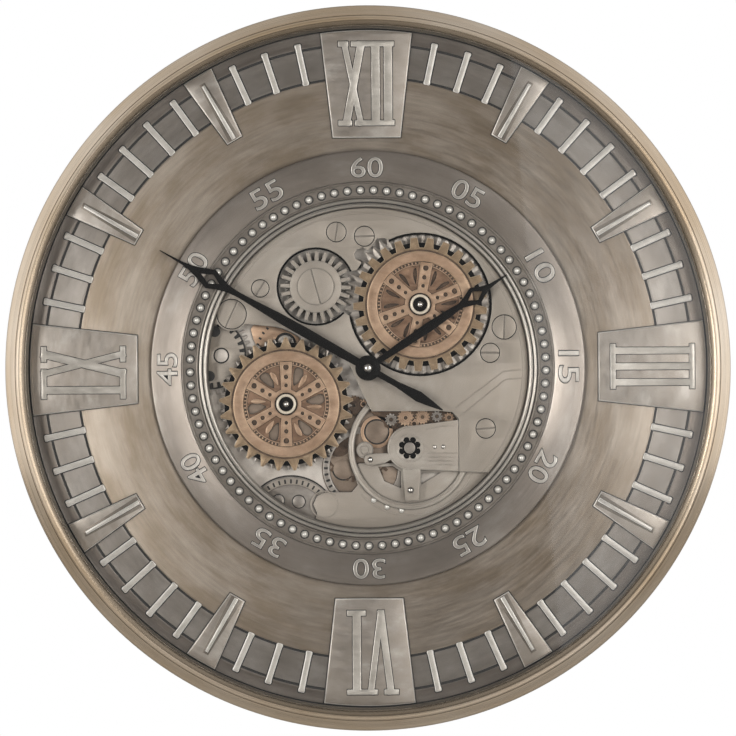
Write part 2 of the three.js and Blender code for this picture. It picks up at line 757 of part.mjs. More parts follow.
function makeHourHand() {
  const eye = hourLength - hourEye;
  const [back, front] = [hourBack, hourBack + handThick];
  const blade = slab(handShape([
    [0, 2.3], [12, 2.3], [30, 3.2], [60, 4], [eye - 27, 3.3], [eye - 15, 2.4], [eye - 8, 4.6], [eye, 8], [eye + 8, 4],
    [eye + 14, 1.9], [hourLength, 0.3],
  ]), back, front);
  const aperture = slab(eyeShape(eye, hourEyeHalf, 4.2), back - 1, front + 1);
  const hub = disc(0, 0, hubRadius - 1, back, front, 24);
  const hole = disc(0, 0, hourTubeRadius + seat, back - 1, front + 1, 12);
  return blade.subtract(aperture).add(hub).subtract(hole);
}

function makeMinuteHand() {
  const eye = minuteLength - minuteEye;
  const tail = -minuteTail;
  const [back, front] = [minuteBack, minuteBack + handThick];
  const blade = slab(handShape([
    [tail, 0.4], [tail + 11, 2.7], [tail + 23, 4.5], [tail + 33, 3.5], [tail + 43, 2.5], [-18, 2.5], [18, 3.6], [60, 4.2],
    [eye - 64.5, 3.9], [eye - 44.5, 2.9], [eye - 27.5, 2.2], [eye - 17.5, 2.8], [eye - 8.5, 5.2], [eye, 8.7],
    [eye + 10.5, 5], [eye + 18.5, 2.5], [eye + 26.5, 1.2], [minuteLength, 0.3],
  ]), back, front);
  const aperture = slab(eyeShape(eye, minuteEyeHalf, 4.3), back - 1, front + 1);
  const hub = disc(0, 0, hubRadius, back, front, 24);
  const hole = disc(0, 0, minuteShaftRadius + seat, back - 1, front + 1, 8);
  return blade.subtract(aperture).add(hub).subtract(hole);
}

function makeHandCap() {
  const under = minuteBack + handThick + seat;
  return turned([
    [0, under], [handCapRadius, under], [2.6, under + 1.3], [0, under + 1.7],
  ], 12);
}

// Clockwork, motor, batteries

function makeMovement() {
  const half = movementWidth / 2;
  const top = movementTop;
  const housing = block(-half, half, top - movementWidth, top, movementBack, rearFace);
  const bayY = top - movementWidth + 2 + cellRadius + cellSpace;
  const bayHalf = cellLength / 2 + cellSpace;
  const bayEdge = cellRadius + cellSpace;
  const bay = block(-bayHalf, bayHalf, bayY - bayEdge, bayY + bayEdge, movementBack - 1, movementBack + 2 * bayEdge);
  const bushing = disc(0, 0, bushingRadius, rearFace - 1, bridgeFront + seat + nutHeight + 0.6, 12);
  const bore = disc(0, 0, hourTubeRadius + running, rearFace - 4, bridgeFront + 20, 12);
  return housing.subtract(bay).add(bushing).subtract(bore);
}

function makeCell(x, y, z) {
  const half = cellLength / 2;
  const nub = turned([
    [0, -half], [cellRadius, -half], [cellRadius, half - 1], [2.7, half - 1], [2.7, half], [0, half],
  ], 12);
  return nub.rotate([0, 90, 0]).translate([x, y, z]);
}

function makeNut() {
  const back = bridgeFront + seat;
  const hexagon = disc(0, 0, nutAcross / 2 / Math.cos(Math.PI / 6), back, back + nutHeight, 6);
  return hexagon.subtract(disc(0, 0, bushingRadius + seat, back - 1, back + nutHeight + 1, 12));
}

function makeHourTube() {
  const back = rearFace - 3;
  return band(hourTubeRadius - hourTubeWall, hourTubeRadius, back, hourBack + handThick + 0.5, 12);
}

function makeMinuteShaft() {
  return disc(0, 0, minuteShaftRadius, rearFace - 2, minuteBack + handThick, 8);
}

function makeKnob() {
  const front = movementBack - seat;
  const grips = toothedShape(8, knobRadius - 0.8, knobRadius, 0.6, 0.35);
  return slab(grips, front - knobHeight, front);
}

const boxInnerX = cellLength + 2 * cellSpace;
const boxInnerY = 4 * cellRadius + 3 * cellSpace;
const boxLength = boxInnerX + 2 * boxWall;
const boxWidth = boxInnerY + 2 * boxWall;
const boxDepth = 2 * cellRadius + cellSpace + boxWall;
const boxBack = rearFace - boxDepth;

function makeBatteryBox() {
  const shell = block(boxX, boxX + boxLength, boxY, boxY + boxWidth, boxBack, rearFace);
  const side = block(boxX - switchBlock, boxX + 1, boxY, boxY + boxWidth, boxBack, rearFace);
  const inside = block(
    boxX + boxWall, boxX + boxWall + boxInnerX, boxY + boxWall, boxY + boxWall + boxInnerY,
    boxBack - 1, rearFace - boxWall,
  );
  return shell.add(side).subtract(inside);
}

function makeBatteryCover() {
  const front = boxBack - seat;
  const cover = block(boxX + 0.5, boxX + boxLength, boxY, boxY + boxWidth, front - coverThick, front);
  const grip = block(boxX + 4, boxX + 7, boxY + 6, boxY + boxWidth - 6, front - coverThick - 1, front - 1);
  return cover.add(grip);
}

function makeSwitch() {
  const x = boxX - switchBlock / 2;
  const y = boxY + boxWidth / 2 - 2;
  const front = boxBack - seat;
  return block(x - switchWidth / 2, x + switchWidth / 2, y - switchLength / 2, y + switchLength / 2,
    front - switchHeight, front);
}

function makeMotor() {
  const [x, y] = [motorWidth / 2, motorHeight / 2];
  const housing = block(-x, x, -y + 3, y + 3, rearFace - motorDepth, rearFace);
  const can = disc(-x + 9, 6, 8, rearFace - motorDepth - 6, rearFace - motorDepth + 1, 12);
  return housing.add(can);
}

// Assembly

piece("bezel_ring", makeBezel(), champagne);
piece("case_drum", makeDrum(), champagne);
piece("glass_seat_ring", band(glassSeatInner, glassRadius, dialFront + seat, glassBack - seat), pewter);
piece("glass_lens", disc(0, 0, glassRadius, glassBack, glassFront, ringSegments), clearGlass);
piece("hanger", makeHanger(), paleSteel);
piece("wall_bumper_left", makeBumper(), rubber, 0, 0, -radians(bumperAngle));
piece("wall_bumper_right", makeBumper(), rubber, 0, 0, radians(bumperAngle));

piece("dial_plate", makeDial(), pewter);
Object.entries(numerals).forEach(([name, strokes], quarter) => {
  piece(`numeral_plate_${name}`, makeNumeralPlate(strokes), paleSteel, 0, 0, (-quarter * Math.PI) / 2);
});
const baton = makeBaton();
for (const hour of [1, 2, 4, 5, 7, 8, 10, 11]) {
  piece(`hour_baton_${hour}`, baton, paleSteel, 0, 0, radians(-30 * hour));
}
piece("minute_ring", makeMinuteRing(), brightSteel);
piece("bead_ring", makeBeadRing(), brightSteel);
piece("trim_ring", makeTrimRing(), brightSteel);

piece("mechanism_pan", makePan(), greyWheel);
piece("lower_plate", makeLowerPlate(), paleSteel);
piece("balance_ring", makeBalanceRing(), paleSteel, balanceX, balanceY);
piece("bridge_plate", makeBridge(), paleSteel);
piece("balance_cock", makeCock(), paleSteel);
piece("regulator_disc", makeRegulator(), paleSteel);
plateScrews.forEach(({ x, y, head, slot }, i) => {
  piece(`plate_screw_${i + 1}`, makeScrew(head, slot), brightSteel, x, y);
});

const bearing = (x0, y0, x1, y1) => Math.atan2(y1 - y0, x1 - x0);
const upperFirst = 0;
const sideFirst = meshedTooth(bearing(upperX, upperY, sideX, sideY), upperFirst, upperTeeth, sideTeeth);
const pinionFirst = meshedTooth(bearing(upperX, upperY, pinionX, pinionY), upperFirst, upperTeeth, pinionTeeth);
const lowerFirst = meshedTooth(bearing(pinionX, pinionY, lowerX, lowerY), pinionFirst, pinionTeeth, lowerTeeth);
piece("upper_carrier_wheel", makeCarrier(upperTeeth, upperFirst), greyWheel, upperX, upperY);
piece("upper_show_wheel", makeShowWheel(true), bronze, upperX, upperY, radians(-9.3));
piece("upper_arbor", makeArbor(), blackSteel, upperX, upperY);
piece("lower_carrier_wheel", makeCarrier(lowerTeeth, lowerFirst), greyWheel, lowerX, lowerY);
piece("lower_show_wheel", makeShowWheel(false), bronze, lowerX, lowerY);
piece("lower_arbor", makeArbor(), blackSteel, lowerX, lowerY);
piece("side_wheel", makeSideWheel(sideFirst), paleSteel, sideX, sideY);
piece("side_wheel_screw", makeSideScrew(), paleSteel, sideX, sideY);
piece("drive_pinion", makePinion(pinionFirst), brass, pinionX, pinionY);

piece("hour_hand", makeHourHand(), blackSteel, 0, 0, radians(-hourAngle));
piece("minute_hand", makeMinuteHand(), blackSteel, 0, 0, radians(-minuteAngle));
piece("hand_cap", makeHandCap(), brightSteel);
piece("hour_tube", makeHourTube(), brass);
piece("minute_shaft", makeMinuteShaft(), brass);
piece("shaft_nut", makeNut(), brass);

piece("clock_movement", makeMovement(), blackPlastic);
piece("setting_knob", makeKnob(), blackPlastic, knobX, knobY);
const bayY = movementTop - movementWidth + 2 + cellRadius + cellSpace;
const bayFloor = movementBack + 2 * (cellRadius + cellSpace);
piece("movement_cell", makeCell(0, bayY, bayFloor - seat - cellRadius), cellSleeve);
piece("gear_motor", makeMotor(), blackPlastic, pinionX, pinionY);
piece("battery_box", makeBatteryBox(), blackPlastic);
piece("battery_cover", makeBatteryCover(), blackPlastic);
const cellX = boxX + boxLength / 2;
const cellZ = rearFace - boxWall - seat - cellRadius;
const cellSide = cellRadius + cellSpace / 2;
piece("motor_cell_1", makeCell(cellX, boxY + boxWidth / 2 - cellSide, cellZ), cellSleeve);
piece("motor_cell_2", makeCell(cellX, boxY + boxWidth / 2 + cellSide, cellZ).mirror([1, 0, 0]).translate([2 * cellX, 0, 0]),
  cellSleeve);
piece("motor_switch", makeSwitch(), blackPlastic);

export default face;
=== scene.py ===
# A large wall clock with an open gear train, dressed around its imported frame.
# Pieces are drawn in the clock's face, in millimetres: x to the right, y up, z from the wall towards the
# viewer, with the hands' axis at x = y = 0. FACE then stands them up in the frame, in metres.
import math
from functools import partial

import bmesh
import bpy
from bpy.props import FloatProperty, FloatVectorProperty, IntProperty, PointerProperty
from mathutils import Matrix, Vector, geometry


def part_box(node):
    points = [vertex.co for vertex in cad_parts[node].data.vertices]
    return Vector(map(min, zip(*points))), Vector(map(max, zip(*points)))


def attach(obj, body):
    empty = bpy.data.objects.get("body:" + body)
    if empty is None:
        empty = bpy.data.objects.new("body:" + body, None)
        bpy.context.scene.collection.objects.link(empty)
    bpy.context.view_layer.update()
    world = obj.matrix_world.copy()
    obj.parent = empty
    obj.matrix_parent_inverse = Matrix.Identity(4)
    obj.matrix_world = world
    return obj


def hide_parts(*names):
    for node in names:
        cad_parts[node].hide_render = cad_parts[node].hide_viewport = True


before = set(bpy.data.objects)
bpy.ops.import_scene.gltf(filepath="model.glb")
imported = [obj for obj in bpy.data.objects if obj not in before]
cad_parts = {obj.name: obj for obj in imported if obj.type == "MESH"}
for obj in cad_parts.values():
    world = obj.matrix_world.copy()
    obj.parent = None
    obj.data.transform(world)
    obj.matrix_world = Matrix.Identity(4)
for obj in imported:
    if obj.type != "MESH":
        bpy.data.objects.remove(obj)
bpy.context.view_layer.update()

bl_info = {
    "name": "Gear Wall Clock",
    "version": (1, 0, 0),
    "blender": (4, 5, 0),
    "location": "3D View > Sidebar > Clock",
    "description": "Builds a wall clock with an open gear train around its packed frame",
    "category": "Object",
}

MM = 0.001
RIM_LOW, RIM_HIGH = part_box("bezel_ring")
AXIS_HEIGHT = (RIM_LOW.z + RIM_HIGH.z) / 2
FACE = Matrix(((MM, 0, 0, 0), (0, 0, -MM, 0), (0, MM, 0, AXIS_HEIGHT), (0, 0, 0, 1)))


def depth(node):
    """Back and front of a CAD node, in millimetres from the wall."""
    low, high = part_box(node)
    return -high.y / MM, -low.y / MM


def reach(node):
    """How far a CAD node reaches to the right of the hands' axis, in millimetres."""
    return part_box(node)[1].x / MM


def place(node):
    """Centre of a round CAD node in the face, in millimetres from the hands' axis."""
    low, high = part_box(node)
    return (low.x + high.x) / 2 / MM, ((low.z + high.z) / 2 - AXIS_HEIGHT) / MM


def linear(code):
    """Linear red, green and blue of an sRGB hex colour."""
    shares = [int(code[i : i + 2], 16) / 255 for i in (1, 3, 5)]
    return tuple(s / 12.92 if s <= 0.04045 else ((s + 0.055) / 1.055) ** 2.4 for s in shares)


# Sizes that several pieces share, in mm, from the frame where it gives them
CLOCK_RADIUS = reach("bezel_ring")
RIM_BACK, CREST = depth("bezel_ring")
GLASS_BACK, GLASS_FRONT = depth("glass_lens")
TICK_RISE = 1.6
DIAL_BACK, TICK_TOP = depth("dial_plate")
DIAL_FACE = TICK_TOP - TICK_RISE
MARKER_END = -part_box("numeral_plate_ix")[0].x / MM  # radius where plates and batons end
PAN_RADIUS = 141.0
TICK_CIRCLE = 256.9  # middle of the minute bars
BEAD_CIRCLE = 147.4
PAN_BACK, PAN_TOP = depth("mechanism_pan")
PAN_FLOOR = PAN_BACK + 2
BRIDGE_BACK, BRIDGE_FRONT = depth("bridge_plate")
PLATE_RADIUS = reach("bridge_plate")
UPPER = place("upper_arbor")
LOWER = place("lower_arbor")
SIDE = place("side_wheel_screw")
PINION = place("drive_pinion")
BALANCE = place("balance_ring")


# Settings


class CLOCK_PG_sizes(bpy.types.PropertyGroup):
    """Sizes that a maker would change; everything else follows the frame."""

    ring_sides: IntProperty(
        name="Ring Sides", description="Sides of the large turned rings", default=256, min=48, max=512
    )
    bead_count: IntProperty(
        name="Beads", description="Beads round the mechanism", default=85, min=12, max=200
    )
    bead_radius: FloatProperty(
        name="Bead Radius", description="Radius of one bead, mm", default=2.9, min=1, max=5
    )
    show_teeth: IntProperty(
        name="Show Teeth", description="Teeth of each bronze wheel", default=25, min=8, max=60
    )
    tick_width: FloatProperty(
        name="Tick Width", description="Width of a minute bar, mm", default=5.2, min=2, max=8
    )
    cast_edge: FloatProperty(
        name="Cast Edge", description="Rounding of the cast plates' edges, mm", default=1.15, min=0.1, max=1.2
    )


class CLOCK_PG_finishes(bpy.types.PropertyGroup):
    """Colours of the clock's finishes."""

    champagne: FloatVectorProperty(
        name="Champagne", description="Lacquered case and rim", subtype="COLOR", default=linear("#C6B5A0")
    )
    pewter: FloatVectorProperty(
        name="Pewter", description="Antiqued dial sheet", subtype="COLOR", default=linear("#978B7E")
    )
    nickel: FloatVectorProperty(
        name="Nickel", description="Plates and hour marks", subtype="COLOR", default=linear("#A69D94")
    )
    bronze: FloatVectorProperty(
        name="Bronze", description="Show wheels", subtype="COLOR", default=linear("#AF927A")
    )
    blacking: FloatVectorProperty(
        name="Blacking", description="Enamelled hands and hubs", subtype="COLOR", default=linear("#0A0807")
    )


class CLOCK_PG_stage(bpy.types.PropertyGroup):
    """Camera and lights."""

    camera_side: FloatProperty(
        name="Camera Side", description="How far left of square the camera stands", subtype="ANGLE",
        default=0.0, min=-0.5, max=0.5,
    )
    camera_roll: FloatProperty(
        name="Camera Roll", description="How far the clock hangs out of plumb in the view", subtype="ANGLE",
        default=math.radians(-0.34), min=-0.1, max=0.1,
    )
    camera_distance: FloatProperty(
        name="Camera Distance", description="From the rim to the camera", unit="LENGTH", default=8, min=1,
        max=12,
    )
    key_power: FloatProperty(
        name="Key Light", description="Power of the left soft box", default=24, min=0, max=500
    )
    side_power: FloatProperty(
        name="Side Light", description="Power of the right soft box", default=24, min=0, max=500
    )
    window_power: FloatProperty(
        name="Window", description="Power of the dim box that the glass mirrors", default=7, min=0, max=500
    )


# Outlines in the face, in mm


def circle(radius, x=0.0, y=0.0, sides=96):
    step = 2 * math.pi / sides
    return [(x + radius * math.cos(step * i), y + radius * math.sin(step * i)) for i in range(sides)]


def bar(x0, y0, x1, y1, width, end_width=None):
    length = math.hypot(x1 - x0, y1 - y0)
    nx, ny = -(y1 - y0) / length / 2, (x1 - x0) / length / 2
    far = width if end_width is None else end_width
    return [
        (x0 - nx * width, y0 - ny * width), (x1 - nx * far, y1 - ny * far),
        (x1 + nx * far, y1 + ny * far), (x0 + nx * width, y0 + ny * width),
    ]


def ribbon(points, width):
    """Bars along a chain of points, with a round at each joint."""
    joints = 12
    bars = [bar(*a, *b, width) for a, b in zip(points, points[1:])]
    return bars + [circle(width / 2, x, y, joints) for x, y in points]


def rounded(points, times=2):
    """The outline with its corners cut, twice over by default, which leaves a smooth curve."""
    for _ in range(times):
        cut = []
        for (ax, ay), (bx, by) in zip(points, points[1:] + points[:1]):
            cut.append((0.75 * ax + 0.25 * bx, 0.75 * ay + 0.25 * by))
            cut.append((0.25 * ax + 0.75 * bx, 0.25 * ay + 0.75 * by))
        points = cut
    return points


def turned_outline(points, degrees, x=0.0, y=0.0):
    c, s = math.cos(math.radians(degrees)), math.sin(math.radians(degrees))
    return [(x + px * c - py * s, y + px * s + py * c) for px, py in points]


def marker(inner, inner_width, outer_width, outer):
    """A mark of the dial at twelve, which widens outwards and ends on a circle."""
    half = math.asin(outer_width / 2 / outer)
    arc = [half - 2 * half * i / 12 for i in range(13)]
    top = [(outer * math.sin(a), outer * math.cos(a)) for a in arc]
    return [(-inner_width / 2, inner), (inner_width / 2, inner), *top]


def area(outline):
    return sum(ax * by - bx * ay for (ax, ay), (bx, by) in zip(outline, outline[1:] + outline[:1])) / 2


def region(shapes, cuts=(), within=None):
    """Loops round what the shapes cover together, less the cuts, and inside one outline if it is given."""
    groups = [*shapes, *cuts] + ([within] if within else [])
    points, faces = [], []
    for outline in groups:
        if area(outline) < 0:
            outline = outline[::-1]
        faces.append(list(range(len(points), len(points) + len(outline))))
        points += [Vector(p) for p in outline]
    corners, _, tiles, _, _, parents = geometry.delaunay_2d_cdt(points, [], faces, 1, 1e-4)
    last = len(shapes) + len(cuts)
    after = {}
    for tile, sources in zip(tiles, parents):
        filled = any(s < len(shapes) for s in sources) and not any(len(shapes) <= s < last for s in sources)
        if filled and (within is None or last in sources):
            for a, b in zip(tile, tile[1:] + tile[:1]):
                after[(a, b)] = True
    edges = {}
    for a, b in after:
        if (b, a) not in after:
            edges.setdefault(a, []).append(b)
    loops = []
    while edges:
        start = next(iter(edges))
        loop, here = [], start
        while here in edges:
            loop.append(here)
            ahead = edges[here].pop()
            if not edges[here]:
                del edges[here]
            here = ahead
        if len(loop) > 2:
            loops.append([tuple(corners[i]) for i in loop])
    return loops


# Solids in the face, in mm, each a mesh of its own


def cleaned(shell):
    """A mesh of the shell, closed and facing outwards."""
    bmesh.ops.remove_doubles(shell, verts=shell.verts, dist=0.002)
    bmesh.ops.dissolve_degenerate(shell, edges=shell.edges, dist=0.001)
    bmesh.ops.recalc_face_normals(shell, faces=shell.faces)
    mesh = bpy.data.meshes.new("part")
    shell.to_mesh(mesh)
    shell.free()
    return mesh


def lathe(profile, sides, x=0.0, y=0.0):
    """The closed profile of (radius, z) points turned about an axis at x, y."""
    shell = bmesh.new()
    unit = circle(1, sides=sides)
    rings = [[shell.verts.new((x + px * r, y + py * r, z)) for px, py in unit] for r, z in profile]
    for ring, following in zip(rings, rings[1:] + rings[:1]):
        for i in range(sides):
            j = (i + 1) % sides
            shell.faces.new((ring[i], ring[j], following[j], following[i]))
    return cleaned(shell)


def band(inner, outer, back, front, sides, x=0.0, y=0.0):
    """A turned ring of square section."""
    return lathe([(inner, back), (outer, back), (outer, front), (inner, front)], sides, x, y)


def arc(radius, z, size, start, end, steps=8):
    """Points of a round in a lathe profile, from one angle to another in degrees."""
    angles = [math.radians(start + (end - start) * i / steps) for i in range(steps + 1)]
    return [(radius + size * math.cos(a), z + size * math.sin(a)) for a in angles]


def plate(loops, back, front, edge=0.0, steps=2, grow=0.0):
    """A flat part with rounded edges: the loops filled, grown by a margin, and raised from back to front."""
    curve = bpy.data.curves.new("outline", "CURVE")
    curve.dimensions, curve.fill_mode, curve.resolution_u = "2D", "BOTH", 1
    curve.extrude = (front - back) / 2 - edge
    curve.bevel_depth, curve.bevel_resolution, curve.offset = edge, steps, grow - edge
    for loop in loops:
        spline = curve.splines.new("POLY")
        spline.points.add(len(loop) - 1)
        for point, (x, y) in zip(spline.points, loop):
            point.co = (x, y, 0, 1)
        spline.use_cyclic_u = True
    return curve_mesh(curve, (back + front) / 2)


def curve_mesh(curve, middle):
    holder = bpy.data.objects.new("outline", curve)
    raw = bpy.data.meshes.new_from_object(holder)
    bpy.data.objects.remove(holder)
    bpy.data.curves.remove(curve)
    shell = bmesh.new()
    shell.from_mesh(raw)
    bpy.data.meshes.remove(raw)
    shell.transform(Matrix.Translation((0, 0, middle)))
    return cleaned(shell)


def number(text, height, width, back, front, edge, grow):
    """Raised figures in the built-in sans face, fitted to a height and a width, and grown by a margin."""
    bolder = 0.004 * height
    curve = bpy.data.curves.new("figures", "FONT")
    curve.body, curve.size, curve.offset = text, height, grow - edge + bolder
    curve.extrude, curve.bevel_depth, curve.bevel_resolution = (front - back) / 2 - edge, edge, 2
    curve.resolution_u = 5
    mesh = curve_mesh(curve, (back + front) / 2)
    xs, ys = [v.co.x for v in mesh.vertices], [v.co.y for v in mesh.vertices]
    wide, tall = max(xs) - min(xs) - 2 * grow, max(ys) - min(ys) - 2 * grow
    scale = Matrix.Diagonal((width / wide, height / tall, 1, 1))
    middle = Vector((max(xs) + min(xs), max(ys) + min(ys), 0)) / 2
    mesh.transform(scale @ Matrix.Translation(-middle))
    return mesh


def moved(mesh, x=0.0, y=0.0, degrees=0.0):
    """Turns a part about the axis and then moves it across the face."""
    mesh.transform(Matrix.Translation((x, y, 0)) @ Matrix.Rotation(math.radians(degrees), 4, "Z"))
    return mesh


# Node trees

MATH, VECTOR = "ShaderNodeMath", "ShaderNodeVectorMath"


def add_node(tree, kind, inputs=(), out=0, **settings):
    """Adds a node, sets or links its inputs, and returns one of its outputs, or the node when out is None."""
    made = tree.nodes.new(kind)
    for key, value in settings.items():
        setattr(made, key, value)
    for key, value in inputs.items() if isinstance(inputs, dict) else enumerate(inputs):
        if isinstance(value, bpy.types.NodeSocket):
            tree.links.new(value, made.inputs[key])
        elif value is not None:
            made.inputs[key].default_value = value
    return made if out is None else made.outputs[out]


def new_tree(name, sockets):
    """A geometry tree with named inputs; gives the tree and its input sockets by name."""
    tree = bpy.data.node_groups.new(name, "GeometryNodeTree")
    tree.interface.new_socket("Geometry", in_out="OUTPUT", socket_type="NodeSocketGeometry")
    for title, kind in sockets:
        tree.interface.new_socket(title, in_out="INPUT", socket_type=f"NodeSocket{kind}")
    return tree, add_node(tree, "NodeGroupInput", out=None).outputs


def close_tree(tree, shape, material):
    """Ends a tree in Realize Instances and Set Material."""
    solid = add_node(tree, "GeometryNodeRealizeInstances", (shape,))
    dressed = add_node(tree, "GeometryNodeSetMaterial", {"Geometry": solid, "Material": material})
    add_node(tree, "NodeGroupOutput", (dressed,), out=None)
    return tree


def ring_tree():
    """Copies of one part evenly round the axis, with the gaps that the dial leaves for its hour marks."""
    tree, given = new_tree("ring of copies", [
        ("Part", "Geometry"), ("Count", "Int"), ("Radius", "Float"), ("First Angle", "Float"),
        ("Leave Hour Gaps", "Bool"), ("Material", "Material"),
    ])
    add = partial(add_node, tree)
    known = {"first": given["First Angle"], "count": given["Count"], "index": add("GeometryNodeInputIndex")}
    for name, operation, *terms in (
        ("step", "DIVIDE", 2 * math.pi, "count"),
        ("angle", "MULTIPLY_ADD", "index", "step", "first"),
        ("across", "SINE", "angle"),
        ("up", "COSINE", "angle"),
        ("turned back", "MULTIPLY", "angle", -1.0),
        ("minute past the hour mark", "MODULO", "index", 5.0),
        ("off the hour mark", "GREATER_THAN", "minute past the hour mark", 0.5),
        ("next minute", "ADD", "index", 1.0),
        ("minute past the quarter", "MODULO", "next minute", 15.0),
        ("off the numeral plate", "GREATER_THAN", "minute past the quarter", 2.5),
        ("wanted", "MINIMUM", "off the hour mark", "off the numeral plate"),
    ):
        known[name] = add(MATH, [known.get(term, term) for term in terms], operation=operation)
    spot = add("ShaderNodeCombineXYZ", (known["across"], known["up"]))
    spot = add(VECTOR, {0: spot, "Scale": given["Radius"]}, operation="SCALE")
    points = add("GeometryNodePoints", {"Count": given["Count"], "Position": spot})
    choice = {"Switch": given["Leave Hour Gaps"], "False": True, "True": known["wanted"]}
    kept = add("GeometryNodeSwitch", choice, input_type="BOOLEAN")
    turn = add("ShaderNodeCombineXYZ", {2: known["turned back"]})
    copies = {"Points": points, "Selection": kept, "Instance": given["Part"], "Rotation": turn}
    return close_tree(tree, add("GeometryNodeInstanceOnPoints", copies), given["Material"])


def wheel_tree():
    """A toothed wheel as a grid bent into a ring: four columns a tooth, and rows round its section."""
    floats = (
        "Root Radius", "Tip Radius", "Root Share", "Tip Share", "Bore Radius", "Back", "Front", "Edge",
        "First Angle",
    )
    tree, given = new_tree("toothed wheel", [
        ("Seed", "Geometry"), ("Teeth", "Int"), *[(title, "Float") for title in floats],
        ("Material", "Material"),
    ])
    add = partial(add_node, tree)
    rows, least_share = 7, 0.02
    known = {title: given[title] for title in ("Teeth", *floats)}
    known["index"] = add("GeometryNodeInputIndex")
    for name, operation, *terms in (
        ("columns", "MULTIPLY_ADD", "Teeth", 4.0, 1.0),
        ("in rows", "DIVIDE", "index", float(rows)),
        ("column", "FLOOR", "in rows"),
        ("row", "MODULO", "index", float(rows)),
        ("corner", "MODULO", "column", 4.0),
        ("tooth and corner", "DIVIDE", "column", 4.0),
        ("tooth", "FLOOR", "tooth and corner"),
        ("from middle", "SUBTRACT", "corner", 1.5),
        ("side", "SIGN", "from middle"),
        ("off middle", "ABSOLUTE", "from middle"),
        ("at tip", "LESS_THAN", "off middle", 1.0),
        ("full share", "MIX", "at tip", "Root Share", "Tip Share"),
        ("full radius", "MIX", "at tip", "Root Radius", "Tip Radius"),
        ("back edge", "ADD", "Back", "Edge"),
        ("front edge", "SUBTRACT", "Front", "Edge"),
        # For each row: on the outline or at the bore, drawn in by the edge or not, and its height
        ("on outline", "BY ROW", 0.0, 1.0, 1.0, 1.0, 1.0, 0.0, 0.0),
        ("drawn in", "BY ROW", 0.0, 1.0, 0.0, 0.0, 1.0, 0.0, 0.0),
        ("height", "BY ROW", "Back", "Back", "back edge", "front edge", "Front", "Front", "Back"),
        ("inset", "MULTIPLY", "drawn in", "Edge"),
        ("outer", "SUBTRACT", "full radius", "inset"),
        ("radius", "MIX", "on outline", "Bore Radius", "outer"),
        ("step", "DIVIDE", 2 * math.pi, "Teeth"),
        ("pitch arc", "MULTIPLY", "step", "outer"),
        ("both insets", "MULTIPLY", "inset", 2.0),
        ("narrower", "DIVIDE", "both insets", "pitch arc"),
        ("drawn share", "SUBTRACT", "full share", "narrower"),
        ("share", "MAXIMUM", "drawn share", least_share),
        ("half", "MULTIPLY", "share", 0.5),
        ("turns", "MULTIPLY_ADD", "half", "side", "tooth"),
        ("angle", "MULTIPLY_ADD", "turns", "step", "First Angle"),
        ("cosine", "COSINE", "angle"),
        ("sine", "SINE", "angle"),
        ("across", "MULTIPLY", "cosine", "radius"),
        ("up", "MULTIPLY", "sine", "radius"),
    ):
        inputs = [known.get(term, term) for term in terms]
        if operation == "MIX":
            known[name] = add("ShaderNodeMix", dict(zip(("Factor", "A", "B"), inputs)))
        elif operation == "BY ROW":
            chooser = add("GeometryNodeIndexSwitch", out=None, data_type="FLOAT")
            while len(chooser.index_switch_items) < rows:
                chooser.index_switch_items.new()
            for socket, value in zip(chooser.inputs, (known["row"], *inputs)):
                if isinstance(value, bpy.types.NodeSocket):
                    tree.links.new(value, socket)
                else:
                    socket.default_value = value
            known[name] = chooser.outputs[0]
        else:
            known[name] = add(MATH, inputs, operation=operation)
    grid = add("GeometryNodeMeshGrid", {"Vertices X": known["columns"], "Vertices Y": rows})
    spot = add("ShaderNodeCombineXYZ", [known[name] for name in ("across", "up", "height")])
    bent = add("GeometryNodeSetPosition", {"Geometry": grid, "Position": spot})
    closed = add("GeometryNodeMergeByDistance", {"Geometry": bent, "Distance": 0.002})
    return close_tree(tree, closed, given["Material"])


def grown(name, make, source, **settings):
    """The plain mesh that the named tree makes from a source mesh, with its inputs set by name."""
    tree = bpy.data.node_groups.get(name) or make()
    holder = bpy.data.objects.new("grown", source)
    bpy.context.scene.collection.objects.link(holder)
    modifier = holder.modifiers.new("tree", "NODES")
    modifier.node_group = tree
    for item in tree.interface.items_tree:
        key = item.name.lower().replace(" ", "_")
        if item.item_type == "SOCKET" and item.in_out == "INPUT" and key in settings:
            modifier[item.identifier] = settings[key]
    bpy.context.view_layer.update()
    made = bpy.data.meshes.new_from_object(holder.evaluated_get(bpy.context.evaluated_depsgraph_get()))
    bpy.data.objects.remove(holder)
    shell = bmesh.new()
    shell.from_mesh(made)
    return cleaned(shell)


def ring_of(part, count, radius, material, first=0.0, hour_gaps=False):
    return grown(
        "ring of copies", ring_tree, part, count=count, radius=radius, first_angle=first,
        leave_hour_gaps=hour_gaps, material=material,
    ), material


def toothed(teeth, root, tip, root_share, tip_share, bore, back, front, material, edge=0.3, first=0.0):
    return grown(
        "toothed wheel", wheel_tree, bpy.data.meshes.new("seed"), teeth=teeth, root_radius=root,
        tip_radius=tip, root_share=root_share, tip_share=tip_share, bore_radius=bore, back=back, front=front,
        edge=edge, first_angle=first, material=material,
    ), material


# Pieces


def declared(name, mesh, body, replaces):
    """An object of the mesh, riding on its body and standing for its CAD nodes."""
    piece = bpy.data.objects.new(name, mesh)
    bpy.context.scene.collection.objects.link(piece)
    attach(piece, body)
    if replaces:
        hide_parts(*replaces)


